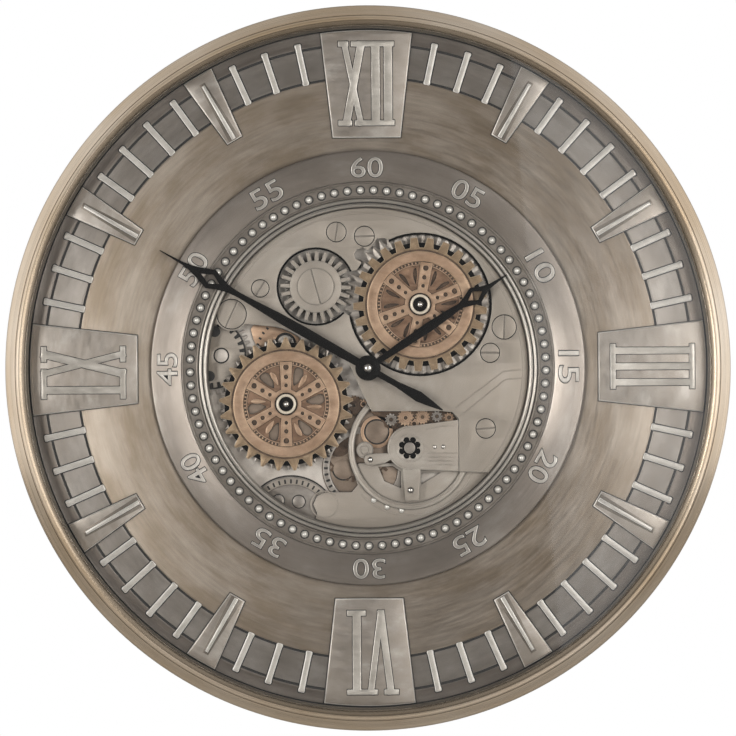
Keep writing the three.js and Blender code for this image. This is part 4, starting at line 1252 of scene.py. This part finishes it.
class CLOCK_OT_pan(bpy.types.Operator):
    """Pan behind the mechanism and the cast wheels that show between its plates"""

    bl_idname = "clock.pan"
    bl_label = "Pan and Cast Relief"

    def execute(self, context):
        grey, bronze, dark, nickel = pan_grey(), aged_bronze(), dark_bronze(), plate_silver()
        steel, umber, wash_and_shade = wheel_grey(), umber_pan(), dark_wash_and_shade()
        radius, flange, sheet = PAN_RADIUS, 150, 1.5
        pan = [
            (0, PAN_BACK), *arc(radius - sheet, PAN_BACK + sheet, sheet, -90, 0, 3),
            (radius, PAN_TOP - sheet), (flange, PAN_TOP - sheet), (flange, PAN_TOP),
            (radius - sheet, PAN_TOP), (radius - sheet, PAN_FLOOR), (0, PAN_FLOOR),
        ]
        pan = lathe(pan, context.scene.clock_sizes.ring_sides)
        add_piece("pressed_pan", "case", [(pan, grey)], ["mechanism_pan"])
        edge = circle(132.4, sides=180)
        # Middles of the cast wheels and bosses
        left, low, sector, large, bush = (-130, 12), (-64.5, -128), (-4, -83), (-8, -62), (7, -53)
        pivot, post, lug = (-121.7, 11), (-68.5, 21), (-21, -84)
        near, far = (-58.1, -110.6), (-74.9, -109.5)
        wedge = rounded([(-98, 37), (-84, 36), (-68, 32), (-54, 24), (-58, 10), (-84, 10), (-94, 20)], 1)
        strip = [(0, -34.5), (62, -34.5), (75, -38), (76, -46), (40, -51), (14, -51), (12, -44), (4, -38)]
        # Loops of each layer, its back and front over the pan's floor, and its finish
        # Layers in the wash colour are partly wash and partly painted shade, round the relief's wheels and
        # bosses and in its slots
        layers = [
            (toothed_flat(left, 40, 33.6, 29.6, 0.6, 0.4, edge), 0, 1.0, steel),
            (region([circle(29, *left)], (), edge), 0.5, 1.1, wash_and_shade),
            (toothed_flat(left, 26, 27.6, 23.6, 0.62, 0.5, edge, [(*pivot, 6.6)]), 0.8, 2.2, nickel),
            (region(*hoop(*pivot, 6.6, 5.4, 32)), 0.8, 1.6, wash_and_shade),
            (region([circle(5.4, *pivot, 32)]), 0.8, 2.0, grey),
            (region([circle(4.6, -127, 31, 24), circle(4.4, -131.5, -6, 24)], (), edge), 1.9, 2.35, wash_and_shade),
            (region(*hoop(*low, 39.4, 38.2), edge), 0, 0.5, wash_and_shade),
            (region([circle(38.2, *low)], (), edge), 0, 1.0, steel),
            (region(*hoop(*low, 37.2, 31.6), edge), 0.8, 1.9, nickel),
            (slots(low, 34.3, 44, 3.6, 1.5, 35, 145, edge), 1.7, 2.0, wash_and_shade),
            (region([circle(5.8, *near, 32), circle(5.4, *far, 32)], (), edge), 0.8, 1.2, wash_and_shade),
            (region([circle(5.0, *near, 32), circle(4.6, *far, 32)], (), edge), 0.8, 1.9, steel),
            (region([circle(34.6, *sector)], (), edge), 0, 0.8, dark),
            (region(*hoop(*sector, 34.0, 28.6), edge), 0.6, 1.9, steel),
            (slots(sector, 31.4, 38, 3.4, 1.9, 150, 290, edge), 1.7, 2.0, wash_and_shade),
            (region([circle(28.6, *sector)], (), edge), 0.2, 1.0, umber),
            (region(*hoop(*sector, 29.2, 28.2), edge), 0.6, 1.3, wash_and_shade),
            (region(*hoop(*lug, 9.4, 8.2, 32), edge), 0.9, 1.2, wash_and_shade),
            (region([circle(8.2, *lug, 32)], (), edge), 0.9, 1.9, umber),
            (toothed_flat(large, 40, 33.0, 29.6, 0.6, 0.45, edge), 0.4, 1.4, dark),
            (region([circle(28, *large)], [circle(11.5, -25, -62, 32)], edge), 1.2, 1.7, umber),
            (region(*hoop(*bush, 13.4, 10.6)), 1.6, 2.6, bronze),
            (region(*hoop(*bush, 10.6, 9.4, 48)), 1.6, 2.2, wash_and_shade),
            ([circle(9.4, *bush, 48)], 1.6, 2.5, umber),
            (region([wedge], [circle(8.8, *post, 32)]), 0, 2.4, bronze),
            (region(*hoop(*post, 8.8, 6.6, 32)), 0, 1.0, wash_and_shade),
            ([circle(6.6, *post, 32)], 0, 2.0, grey),
            (slots((-60, 10), 33, 40, 2.4, 1.6, 128, 172, edge), 2.2, 2.6, wash_and_shade),
            (region([rounded(strip, 1)], (), edge), 2.0, 2.6, dark),
        ]
        floor, parts = PAN_FLOOR, []
        for loops, under, over, skin in layers:
            parts.append((plate(loops, floor + under, floor + over, 0.2, 1), skin))
        # Small cast wheels between the plates: place, radius and finish
        for x, y, size, skin in (
            (31, -41.5, 7.0, bronze), (45, -41, 6.2, bronze), (57, -40.5, 4.6, steel), (19, -43, 5.2, steel),
            (67, -41.5, 4.4, bronze), (-12, -31, 8.4, dark), (-4, -30, 4.2, bronze), (-17, -37, 4.0, steel),
            (38, -46.5, 4.2, bronze), (51, -46, 3.6, dark), (25, -48, 3.4, dark),
        ):
            teeth = round(size * 2.2)
            wheel, _ = toothed(teeth, size - 1.1, size, 0.6, 0.4, 1.6, floor + 1.9, floor + 3.4, skin, 0.2)
            ring = band(size * 0.42, size * 0.6, floor + 3.3, floor + 3.8, 24)
            parts += [(moved(wheel, x, y), skin), (moved(ring, x, y), skin)]
        add_piece("cast_relief", "case", parts)
        return {"FINISHED"}


# Screws of the bridge: head radius and direction of the slot, in the order of their nodes
SCREWS = [(7.9, 82), (8.0, 2), (7.0, 60), (12.0, 65), (9.8, 88), (7.7, 0), (7.8, 5)]
EAR = 3  # the screw whose ear stands out where the bridge is cut away
COCK_SPLIT = 75


def bridge_outlines(wall=0.0):
    """Cuts of the round bridge: its lower left, its openings drawn in by a wall, and the hands' hole."""
    away = [
        (-160, -160), (99, -160), (99, -87.2), (COCK_SPLIT, -86.2), (COCK_SPLIT, -42.5), (70, -37), (60, -36),
        (3, -36), (0, -31), (-12, -5), (-16, 5), (-45, 25), (-75, 34.5), (-101, 37), (-160, 37),
    ]
    opening = [
        (-28, 46), (-20, 46.5), (-13, 42), (0, 42), (10, 80), (18, 105.6), (14, 107.6), (8, 107), (3, 100),
        (1, 97), (-4, 100), (-9, 98), (-11, 94), (-10, 91), (-5, 88), (-5, 84), (-9, 81), (-14, 80),
        (-20, 78), (-27, 75),
    ]
    return [
        away, opening, circle(59.5 - wall, *UPPER), circle(32.5 - wall, *SIDE, 64), circle(5.2, 0, 0, 32),
    ]


class CLOCK_OT_plates(bpy.types.Operator):
    """Bridge, lower plate, balance ring and balance cock"""

    bl_idname = "clock.plates"
    bl_label = "Plates"

    def execute(self, context):
        silver, dark = plate_silver(), black_steel()
        back, front = BRIDGE_BACK, BRIDGE_FRONT
        heads = [(head, *place(f"plate_screw_{i}")) for i, (head, _) in enumerate(SCREWS, 1)]
        wells = [circle(head + 0.55, x, y, 48) for head, x, y in heads]
        rim, smooth = circle(PLATE_RADIUS, sides=256), 200
        # The bridge, with the round ear of one screw added back where the lower left was cut away
        kept = region([rim], bridge_outlines())
        outer = [loop for loop in kept if area(loop) > 0]
        holes = [loop for loop in kept if area(loop) < 0]
        ear_radius, *ear = heads[EAR]
        body = region([*outer, circle(ear_radius + 1.8, *ear, 48)], [*holes, *wells], rim)
        turned_line = region(
            [circle(129.0, sides=smooth)], [circle(128.0, sides=smooth), *bridge_outlines(-2), *wells]
        )
        traces = ribbon([(73, -33), (112, -3.5), (131, -1.5)], 0.9)
        traces += ribbon([(77, -40), (114, -10), (130.5, -9)], 0.9)
        traces = region(traces, [], circle(PLATE_RADIUS - 1, sides=smooth))
        # A black sheet under the bridge's openings paints the shadow in their gaps
        painted_shadow_liner = region([circle(PLATE_RADIUS - 0.5, sides=smooth)], bridge_outlines(1.7))
        parts = [
            (plate(body, back, front, 0.4, 2), silver),
            (plate(turned_line, front - 0.2, front + 0.35, 0.15, 1), silver),
            (plate(traces, front - 0.2, front + 0.3, 0.15, 1), silver),
            (plate(painted_shadow_liner, back - 1.1, back - 0.1, 0.0, 0), dark),
        ]
        # A black disc under each screw head paints the shadow in the gap round it
        for head, x, y in heads:
            parts.append((plate([circle(head + 1.0, x, y, 40)], back - 0.2, back + 0.6), dark))
        add_piece("bridge", "case", parts, ["bridge_plate"])
        self.lower_plate(silver)
        self.balance(silver)
        self.cock(silver, dark)
        self.regulator(silver)
        return {"FINISHED"}

    def lower_plate(self, silver):
        back, front = depth("lower_plate")
        shape = [
            (-46, -113), (-43, -120), (-50, -150), (110, -150), (130, -88), (43, -84.5), (30, -84.5),
            (20, -79), (-8, -79), (-13, -84), (-9, -97), (-14, -103), (-36, -103), (-43, -106),
        ]
        openings = [
            [(8, -82), (20, -81.5), (27, -86), (27, -100), (13, -94)], [(43.5, -87), (43.5, -97), (60, -87)],
        ]
        body = region([shape], openings, circle(PLATE_RADIUS, sides=200))
        left_half = [(-160, -160), (-160, 160), (-6, 160), (-6, -160)]
        on_plate = [(-20, -140), (120, -140), (120, -88), (-20, -88)]
        sweep = region([circle(56.6, *BALANCE)], [circle(55.4, *BALANCE), left_half], on_plate)
        parts = [
            (plate(body, back, front, 0.4, 2), silver),
            (plate(region(*hoop(-37, -113, 11.5, 10.6, 48)), front - 0.1, front + 0.3, 0.1, 1), silver),
            (plate(sweep, front - 0.1, front + 0.35, 0.12, 1), silver),
        ]
        stud = [
            (0, front - 0.2), (2.3, front - 0.2), (2.3, front + 0.5), (1.6, front + 1.2), (0, front + 1.5)
        ]
        for x, y in ((4.2, -109.5), (15.4, -115.2), (27.2, -118.2)):
            parts.append((lathe(stud, 20, x, y), pearl_nickel()))
        for x, y in ((62.5, -107), (72.5, -98)):
            nib = region([turned_outline(bar(-1.8, 0, 1.8, 0, 2.6), 50, x, y)])
            parts.append((plate(nib, front - 0.1, front + 1.1, 0.4, 1), bright_nickel()))
        add_piece("lower_cover", "case", parts, ["lower_plate"])

    def balance(self, silver):
        low, high = depth("balance_ring")
        ring = [
            (46, low), (51, low), (51, high - 0.6), (50.4, high), (49.6, high), (49.0, high - 0.5),
            (47.8, high - 0.5), (47.2, high), (46.6, high), (46, high - 0.6),
        ]
        ring = lathe(ring, 128, *BALANCE)
        add_piece("balance_hoop", "case", [(ring, silver)], ["balance_ring"])

    def cock(self, silver, dark):
        back, front = BRIDGE_BACK, BRIDGE_FRONT
        x, y = BALANCE
        end = COCK_SPLIT - 0.3
        arm = [(x, -48.4), (end, -43.3), (end, -86), (x, -84.2)]
        down = [(27.6, -80), (43.4, -80), (41.8, -110), (30.2, -110)]
        left = rounded([(20, -70.5), (1.5, -71), (-3.5, -73), (-3.5, -79), (1.5, -81), (18, -78)], 1)
        turns = [math.radians(22.5 + 45 * i) for i in range(8)]
        petals = [circle(2.6, x + 6.8 * math.cos(a), y + 6.8 * math.sin(a), 20) for a in turns]
        ribs = [bar(50, level, 74, level, 0.7) for level in (-71, -74.2, -77.4, -80.6)]
        brow = ribbon([(48, -51), (60, -48.5), (72.5, -48)], 0.7)
        head = circle(18.5, x, y, 72)
        body = region([arm, down, left, head], [*petals, circle(6.2, x, y, 32)])
        parts = [
            (plate(body, back, front, 0.45, 2), silver),
            # A black disc under the cock's head paints the shadow seen through its cut petals
            (plate([circle(10.2, x, y, 40)], back - 0.3, back + 0.8), dark),
            (plate(region([circle(4.6, x, y, 32)]), back, front - 0.4, 0.4, 2), wheel_grey()),
        ]
        ring, cut = hoop(x, y, 18.0, 17.0, 72)
        for loops, rise, edge in (
            (region(ring, [*cut, arm]), 0.4, 0.15), (region(*hoop(x, y, 11.6, 10.9, 48)), 0.35, 0.12),
            (region(ribs), 0.35, 0.15), (region(brow), 0.3, 0.1),
        ):
            parts.append((plate(loops, front - 0.1, front + rise, edge, 1), silver))
        for px, py, size, rise in (
            (34.8, -101.5, 2.6, 1.6), (1.4, -76, 2.2, 1.4), (55, -65.8, 1.5, 0.7), (62, -65.6, 1.7, 0.8),
        ):
            dome = [
                (0, front - 0.3), (size, front - 0.3), (size, front + rise * 0.3),
                (size * 0.7, front + rise * 0.8), (0, front + rise),
            ]
            parts.append((lathe(dome, 24, px, py), bright_nickel()))
        add_piece("cock", "case", parts, ["balance_cock"])

    def regulator(self, silver):
        low, high = depth("regulator_disc")
        disc = [
            (0, low), (6.4, low), (7, low + 0.6), (7, high - 0.8), (6.2, high), (4.4, high),
            (4.0, high - 0.5), (3.2, high - 0.5), (2.8, high), (0, high),
        ]
        disc = lathe(disc, 48, *place("regulator_disc"))
        add_piece("regulator", "case", [(disc, silver)], ["regulator_disc"])


def slotted(head, slot, low, top, material):
    """A screw head with its slot, over a shank."""
    cut = turned_outline(bar(-head - 1, 0, head + 1, 0, 1.1), slot)
    return [
        (plate([circle(head, sides=48)], low, top - 0.8, 0.0, 0), material),
        (plate(region([circle(head, sides=64)], [cut]), top - 0.9, top, 0.35, 2), material),
        (band(0, 2.4, low - 3, low, 16), material),
    ]


class CLOCK_OT_screws(bpy.types.Operator):
    """Slotted screws of the bridge"""

    bl_idname = "clock.screws"
    bl_label = "Plate Screws"

    def execute(self, context):
        for i, (head, slot) in enumerate(SCREWS, 1):
            node = f"plate_screw_{i}"
            parts = slotted(head, slot, BRIDGE_BACK + 0.6, BRIDGE_FRONT + 0.35, plate_silver())
            add_piece(f"slotted_screw_{i}", "case", parts, [node], place(node))
        return {"FINISHED"}


# Gear train: one module, the teeth's proportions in modules, and the angle of each wheel's first tooth
MODULE, ADDENDUM, DEDENDUM, TIP = 2.2805, 0.9, 1.8, 0.4
UPPER_TEETH, SIDE_TEETH, PINION_TEETH, LOWER_TEETH = 53, 24, 14, 46


def meshed_tooth(start, end, first, teeth, other_teeth):
    """Angle of one tooth of the wheel at end that meshes with the wheel at start."""
    direction = math.atan2(end[1] - start[1], end[0] - start[0])
    return direction + math.pi - (first - direction) * teeth / other_teeth + math.pi / other_teeth


SIDE_FIRST = meshed_tooth(UPPER, SIDE, 0, UPPER_TEETH, SIDE_TEETH)
PINION_FIRST = meshed_tooth(UPPER, PINION, 0, UPPER_TEETH, PINION_TEETH)
LOWER_FIRST = meshed_tooth(PINION, LOWER, PINION_FIRST, PINION_TEETH, LOWER_TEETH)
ARBOR = 4.4  # radius of the wheels' bores


def train_wheel(teeth, first, bore, back, front, material):
    """A working wheel of the train: straight flanks down to a V between the teeth."""
    pitch = teeth * MODULE / 2
    root, tip = pitch - DEDENDUM * MODULE, pitch + ADDENDUM * MODULE
    tip_share = TIP * MODULE / tip * teeth / (2 * math.pi)
    return toothed(teeth, root, tip, 1.0, tip_share, bore, back, front, material, 0.15, first)


class CLOCK_OT_wheels(bpy.types.Operator):
    """Upper and lower wheels, each a grey working wheel, a bronze show wheel and an arbor"""

    bl_idname = "clock.wheels"
    bl_label = "Show Wheels"

    def execute(self, context):
        show_teeth = context.scene.clock_sizes.show_teeth
        self.carrier("upper", UPPER, UPPER_TEETH, 0)
        self.carrier("lower", LOWER, LOWER_TEETH, LOWER_FIRST)
        self.show_wheel("upper", UPPER, -9.3, show_teeth)
        self.show_wheel("lower", LOWER, 0, show_teeth)
        self.arbor("upper", UPPER)
        self.arbor("lower", LOWER)
        return {"FINISHED"}

    def carrier(self, name, centre, teeth, first):
        grey, node = wheel_grey(), f"{name}_carrier_wheel"
        back, top = depth(node)
        front = back + 4
        parts = [
            train_wheel(teeth, first, ARBOR, back, front, grey),
            (band(ARBOR, 12, front - 0.5, top, 48), grey),
            # The black ring on the working wheel paints the shadow under the bronze show wheel's teeth
            (band(45.5, 51.2, front - 0.2, front + 0.15, 96), black_steel()),
        ]
        add_piece(f"{name}_working_wheel", f"{name}_wheel", parts, [node], centre)

    def show_wheel(self, name, centre, turn, teeth):
        bronze, tan, dark, node = aged_bronze(), tan_bronze(), dark_bronze(), f"{name}_show_wheel"
        back, front = depth(node)
        web, ring_face = front - 1.6, front - 0.5
        eye = circle(ARBOR, sides=24)
        narrow = [(5.9, 15.2), (7.8, 18.4), (9.8, 23.5), (9.8, 28.6), (7.8, 29.6), (6.6, 25.6), (6.0, 20)]
        wide = [
            (5.9, 14.6), (9.4, 16.6), (13.8, 21.6), (15.2, 27), (12.2, 30.6), (7.4, 30.4), (6.0, 25),
            (5.7, 19),
        ]
        leaf = [(-6.2, 15), (-8.4, 17), (-12.6, 22), (-13.4, 27.4), (-8.8, 25), (-7, 20)]
        if name == "upper":
            root_share, tip_share, disc_skin = 0.66, 0.4, dark
            windows, raised = (narrow, [(-x, y) for x, y in narrow[::-1]]), ()
        else:
            root_share, tip_share, disc_skin = 0.78, 0.16, umber_pan()
            windows, raised = (wide,), (leaf,)
        spokes, cuts, holes, leaves = [circle(12.6, sides=64)], [], [], []
        for angle in range(0, -360, -60):
            spokes.append(turned_outline(bar(0, 8, 0, 35.2, 8.0, 10.2), angle))
            for far, size in ((15.5, 1.5), (22.6, 1.8), (30.6, 2.3)):
                holes.append(turned_outline(circle(size, 0, far, 20), angle))
            cuts += [turned_outline(rounded(window), angle) for window in windows]
            leaves += [turned_outline(rounded(shape), angle) for shape in raised]
        rim = [
            (35.4, back), (44.3, back), (44.3, front - 0.7), (43.8, front - 0.15), (43.0, front),
            (36.6, front), (35.8, front - 0.15), (35.4, front - 0.7),
        ]
        root, tip, inner, upright = 47.2, 55.5, 44.9, math.radians(90)
        # The dark disc behind the upper wheel's windows, the dark bands at the joints and the dark backs of
        # the spoke holes are painted shade
        parts = [
            toothed(teeth, root, tip, root_share, tip_share, inner, back, ring_face, tan, 0.35, upright),
            (band(ARBOR, 34.5, back, back + 0.3, 64), disc_skin),
            (band(44.0, 45.2, back + 0.2, web - 0.2, 128), dark),
            (lathe(rim, 128), bronze),
            (plate(region([circle(35.6, sides=96)], [*cuts, eye]), back + 0.2, web, 0.3, 1), web_bronze()),
            (band(32.4, 33.1, web - 0.1, web + 0.75, 128), bronze),
            (band(33.0, 35.5, web - 0.1, web + 0.1, 128), dark),
            (band(43.9, 45.6, front - 1.2, ring_face + 0.06, 128), dark),
            (plate(region(spokes, [*holes, eye]), web - 0.2, front - 0.15, 0.35, 2), bronze),
        ]
        dash = plate([bar(0, -0.9, 0, 0.9, 1.2)], web, web + 0.7, 0.2, 1)
        parts.append(ring_of(dash, 72, 34.3, bronze))
        wider = 1.02
        for hole in holes:
            parts.append((plate([[(x * wider, y) for x, y in hole]], web - 0.1, web + 0.12), dark))
        parts += [(plate([shape], web - 0.2, web + 0.5, 0.25, 1), bronze) for shape in leaves]
        add_piece(f"{name}_bronze_wheel", f"{name}_wheel", parts, [node], centre, turn)

    def arbor(self, name, centre):
        node = f"{name}_arbor"
        back, top = depth(node)
        under = top - 3.6
        shaft = [
            (0, back), (4, back), (4, under), (9.3, under), (9.3, top - 2.0), (8.6, top - 1.5),
            (5.2, top - 1.5), (5.2, top - 2.4), (0, top - 2.4),
        ]
        ring = [(6.0, top - 1.7), (8.4, top - 1.7), *arc(7.2, top - 1.2, 1.2, 0, 180)]
        pin = [(0, top - 2.5), (2.4, top - 2.5), (2.3, top - 1.7), (1.4, top - 1.0), (0, top - 0.8)]
        parts = [
            (lathe(shaft, 64), black_steel()), (lathe(ring, 64), ivory_ring()),
            (lathe(pin, 32), bright_nickel()),
        ]
        add_piece(f"{name}_hub", f"{name}_wheel", parts, [node], centre)


class CLOCK_OT_side_wheel(bpy.types.Operator):
    """Pale side wheel with its shoulder screw, and the pinion that drives the train"""

    bl_idname = "clock.side_wheel"
    bl_label = "Side Wheel"

    def execute(self, context):
        silver, bore = plate_silver(), 4.3
        back, top = depth("side_wheel")
        face = top - 0.6
        flange = region([circle(21.4, sides=72)], [circle(bore, sides=24)])
        parts = [
            # The lower layer's dark steel paints the shade in the gaps between the upper teeth
            train_wheel(SIDE_TEETH, SIDE_FIRST, bore, back, back + 1.9, shadowed_steel()),
            toothed(SIDE_TEETH, 21.6, 29.4, 0.62, 0.42, bore, back + 1.8, face, silver, 0.5, SIDE_FIRST),
            (plate(flange, face - 0.2, top, 0.35, 2), silver),
        ]
        add_piece("pale_side_wheel", "side_wheel", parts, ["side_wheel"], SIDE)
        low, high = depth("side_wheel_screw")
        parts = [*slotted(15, -75, high - 1.5, high, silver), (band(0, 4, low, high - 1, 32), silver)]
        add_piece("shoulder_screw", "case", parts, ["side_wheel_screw"], SIDE)
        back, front = depth("drive_pinion")
        parts = [
            train_wheel(PINION_TEETH, PINION_FIRST, 1.2, PAN_FLOOR + 2, front, wheel_grey()),
            (band(0, 2.5, back, front + 0.2, 24), raw_brass()),
        ]
        add_piece("brass_pinion", "drive_pinion", parts, ["drive_pinion"], PINION)
        return {"FINISHED"}


class CLOCK_OT_hands(bpy.types.Operator):
    """Hour and minute hands with their hub"""

    bl_idname = "clock.hands"
    bl_label = "Hands"

    def execute(self, context):
        # Half widths along each hand from its axis, and the eye left open in its blade
        hour_edge = [
            (0, 2.3), (12, 2.3), (30, 3.2), (60, 4), (80, 3.3), (92, 2.4), (99, 4.6), (107, 8), (115, 4),
            (121, 1.9), (138.5, 0.35),
        ]
        minute_edge = [
            (-71, 0.5), (-60, 2.7), (-48, 4.5), (-38, 3.5), (-28, 2.5), (-18, 2.5), (18, 3.6), (60, 4.2),
            (85, 3.9), (105, 2.9), (122, 2.2), (132, 2.8), (141, 5.2), (149.5, 8.7), (160, 5), (168, 2.5),
            (176, 1.2), (198, 0.35),
        ]
        hour_eye = [(0, 100), (4.2, 107), (0, 114), (-4.2, 107)]
        minute_eye = [(0, 141.5), (4.3, 149.5), (0, 158.5), (-4.3, 149.5)]
        # Each hand's angle at rest, and the radii of its hub and its bore
        for hand, turn, edge, eye, hub, bore in (
            ("hour_hand", 56.4, hour_edge, hour_eye, 9.5, 2.9),
            ("minute_hand", 299.8, minute_edge, minute_eye, 10.5, 1.6),
        ):
            outline = [(half, along) for along, half in edge] + [(-half, along) for along, half in edge[::-1]]
            shape = region([outline, circle(hub, sides=64)], [eye, circle(bore, sides=32)])
            blade = (plate(shape, *depth(hand), 0.22, 2), black_steel())
            add_piece(f"black_{hand}", hand, [blade], [hand], degrees=-turn)
        low, high = depth("hand_cap")
        cap = [
            (0, low), (3.6, low), (3.6, low + 0.3), (3.1, low + 0.9), (2.1, high - 0.3), (1.0, high),
            (0, high),
        ]
        add_piece("cap", "minute_hand", [(lathe(cap, 32), bright_nickel())], ["hand_cap"])
        for name, node, body, edge in (
            ("nut", "shaft_nut", "case", 0.3), ("tube", "hour_tube", "hour_hand", 0.1),
            ("shaft", "minute_shaft", "minute_hand", 0.1),
        ):
            softened(name, node, body, raw_brass(), edge)
        return {"FINISHED"}


class CLOCK_OT_works(bpy.types.Operator):
    """Clockwork, motor and battery box behind the pan"""

    bl_idname = "clock.works"
    bl_label = "Works"

    def execute(self, context):
        for node, body, edge in (
            ("clock_movement", "case", 1.0), ("gear_motor", "case", 0.8), ("battery_box", "case", 0.7),
            ("battery_cover", "battery_cover", 0.5), ("motor_switch", "motor_switch", 0.4),
            ("setting_knob", "setting_knob", 0.35),
        ):
            softened(f"moulded_{node}", node, body, moulded_black(), edge)
        for node in ("movement_cell", "motor_cell_1", "motor_cell_2"):
            softened(f"sleeved_{node}", node, "case", cell_film(), 0.4)
        return {"FINISHED"}


class CLOCK_OT_stage(bpy.types.Operator):
    """Camera, soft boxes, pale floor and white surround"""

    bl_idname = "clock.stage"
    bl_label = "Stage"

    def execute(self, context):
        stage, scene = context.scene.clock_stage, context.scene
        aim = Vector((0, RIM_LOW.y, AXIS_HEIGHT))
        side, distance = stage.camera_side, stage.camera_distance
        lens = bpy.data.cameras.new("camera")
        camera = bpy.data.objects.new("camera", lens)
        camera.location = aim + distance * Vector((-math.sin(side), -math.cos(side), 0))
        level = (aim - camera.location).to_track_quat("-Z", "Y").to_matrix()
        camera.rotation_euler = (level @ Matrix.Rotation(stage.camera_roll, 3, "Z")).to_euler()
        margin, film = 1.0128, 36
        shown = 2 * CLOCK_RADIUS * MM * margin
        lens.sensor_width, lens.lens = film, film * distance / shown
        scene.collection.objects.link(camera)
        scene.camera = camera
        # Soft boxes: each one's place from the clock's middle and its size in metres, and its power
        for name, spot, size, power in (
            ("key", (-1.35, -2.0, 0.1), (0.4, 0.8), stage.key_power),
            ("side", (1.25, -2.1, 0.2), (0.9, 1.3), stage.side_power),
            ("window", (0.995, -3.0, 0.0), (1.6, 2.2), stage.window_power),
        ):
            light = bpy.data.lights.new(name, "AREA")
            light.shape, light.size, light.size_y, light.energy = "RECTANGLE", *size, power
            lamp = bpy.data.objects.new(name, light)
            lamp.location = aim + Vector(spot)
            lamp.rotation_euler = (-Vector(spot)).to_track_quat("-Z", "Y").to_euler()
            if name == "window":
                # Nearly square to the glass, which mirrors its edge across the dial
                lamp.rotation_euler = (math.radians(90), math.radians(-4.5), 0)
            scene.collection.objects.link(lamp)
        self.floor(scene)
        self.surround(scene)
        scene.view_settings.view_transform = "Standard"
        return {"FINISHED"}

    def floor(self, scene):
        drop, half = 0.62, 2.0
        height = AXIS_HEIGHT - drop
        mesh = bpy.data.meshes.new("floor")
        corners = [(half * x, half * y, height) for x, y in ((-1, -1), (1, -1), (1, 1), (-1, 1))]
        mesh.from_pydata(corners, [], [(0, 1, 2, 3)])
        mesh.materials.append(plain_skin("pale floor", "#E6E3DE", 0.7, tint=0.02))
        floor = bpy.data.objects.new("floor", mesh)
        scene.collection.objects.link(floor)

    def surround(self, scene):
        """White to the camera; metal and glass see a room that is brighter at its sides, top and bottom than
        straight ahead."""
        world = bpy.data.worlds.new("surround")
        scene.world = world
        world.use_nodes = True
        world.node_tree.nodes.clear()
        add = partial(add_node, world.node_tree)
        straight_ahead, on_matt = 0.2, 0.28
        way = add("ShaderNodeTexCoord", out="Generated")
        across, _, up = add("ShaderNodeSeparateXYZ", (way,), out=None).outputs
        sideways = add(MATH, (across, across), operation="MULTIPLY")
        upright = add(MATH, (up, up), operation="MULTIPLY")
        level = straight_ahead
        for share, factor in ((sideways, 1.3), (across, 0.06), (up, -0.06), (upright, 0.5)):
            level = add(MATH, (share, factor, level), operation="MULTIPLY_ADD")
        rays = add("ShaderNodeLightPath", out=None).outputs
        shiny = add(MATH, (rays["Is Glossy Ray"], rays["Is Transmission Ray"]), operation="MAXIMUM")
        level = add("ShaderNodeMix", {"Factor": shiny, "A": on_matt, "B": level})
        level = add("ShaderNodeMix", {"Factor": rays["Is Camera Ray"], "A": level, "B": 1.0})
        light = add("ShaderNodeBackground", {"Color": (1, 1, 1, 1), "Strength": level})
        add("ShaderNodeOutputWorld", (light,), out=None)


class CLOCK_PT_sidebar(bpy.types.Panel):
    """Lists the clock's pieces in the order in which they are made"""

    bl_idname = "CLOCK_PT_sidebar"
    bl_label = "Gear Wall Clock"
    bl_space_type = "VIEW_3D"
    bl_region_type = "UI"
    bl_category = "Clock"

    def draw(self, context):
        layout = self.layout
        for settings in (context.scene.clock_sizes, context.scene.clock_finishes, context.scene.clock_stage):
            for name in settings.__annotations__:
                layout.prop(settings, name)
        for maker in MAKERS:
            layout.operator(maker.bl_idname)


SETTINGS = {
    "clock_sizes": CLOCK_PG_sizes, "clock_finishes": CLOCK_PG_finishes, "clock_stage": CLOCK_PG_stage,
}
MAKERS = [
    CLOCK_OT_stage, CLOCK_OT_case, CLOCK_OT_glass, CLOCK_OT_dial, CLOCK_OT_numerals, CLOCK_OT_batons,
    CLOCK_OT_track, CLOCK_OT_beads, CLOCK_OT_pan, CLOCK_OT_plates, CLOCK_OT_screws, CLOCK_OT_wheels,
    CLOCK_OT_side_wheel, CLOCK_OT_hands, CLOCK_OT_works,
]


def register():
    for kind in [*SETTINGS.values(), *MAKERS, CLOCK_PT_sidebar]:
        bpy.utils.register_class(kind)
    for name, kind in SETTINGS.items():
        setattr(bpy.types.Scene, name, PointerProperty(type=kind))


def unregister():
    for name in SETTINGS:
        delattr(bpy.types.Scene, name)
    for kind in reversed([*SETTINGS.values(), *MAKERS, CLOCK_PT_sidebar]):
        bpy.utils.unregister_class(kind)


def main():
    register()
    for maker in MAKERS:
        group, name = maker.bl_idname.split(".")
        getattr(getattr(bpy.ops, group), name)()


if __name__ == "__main__":
    main()
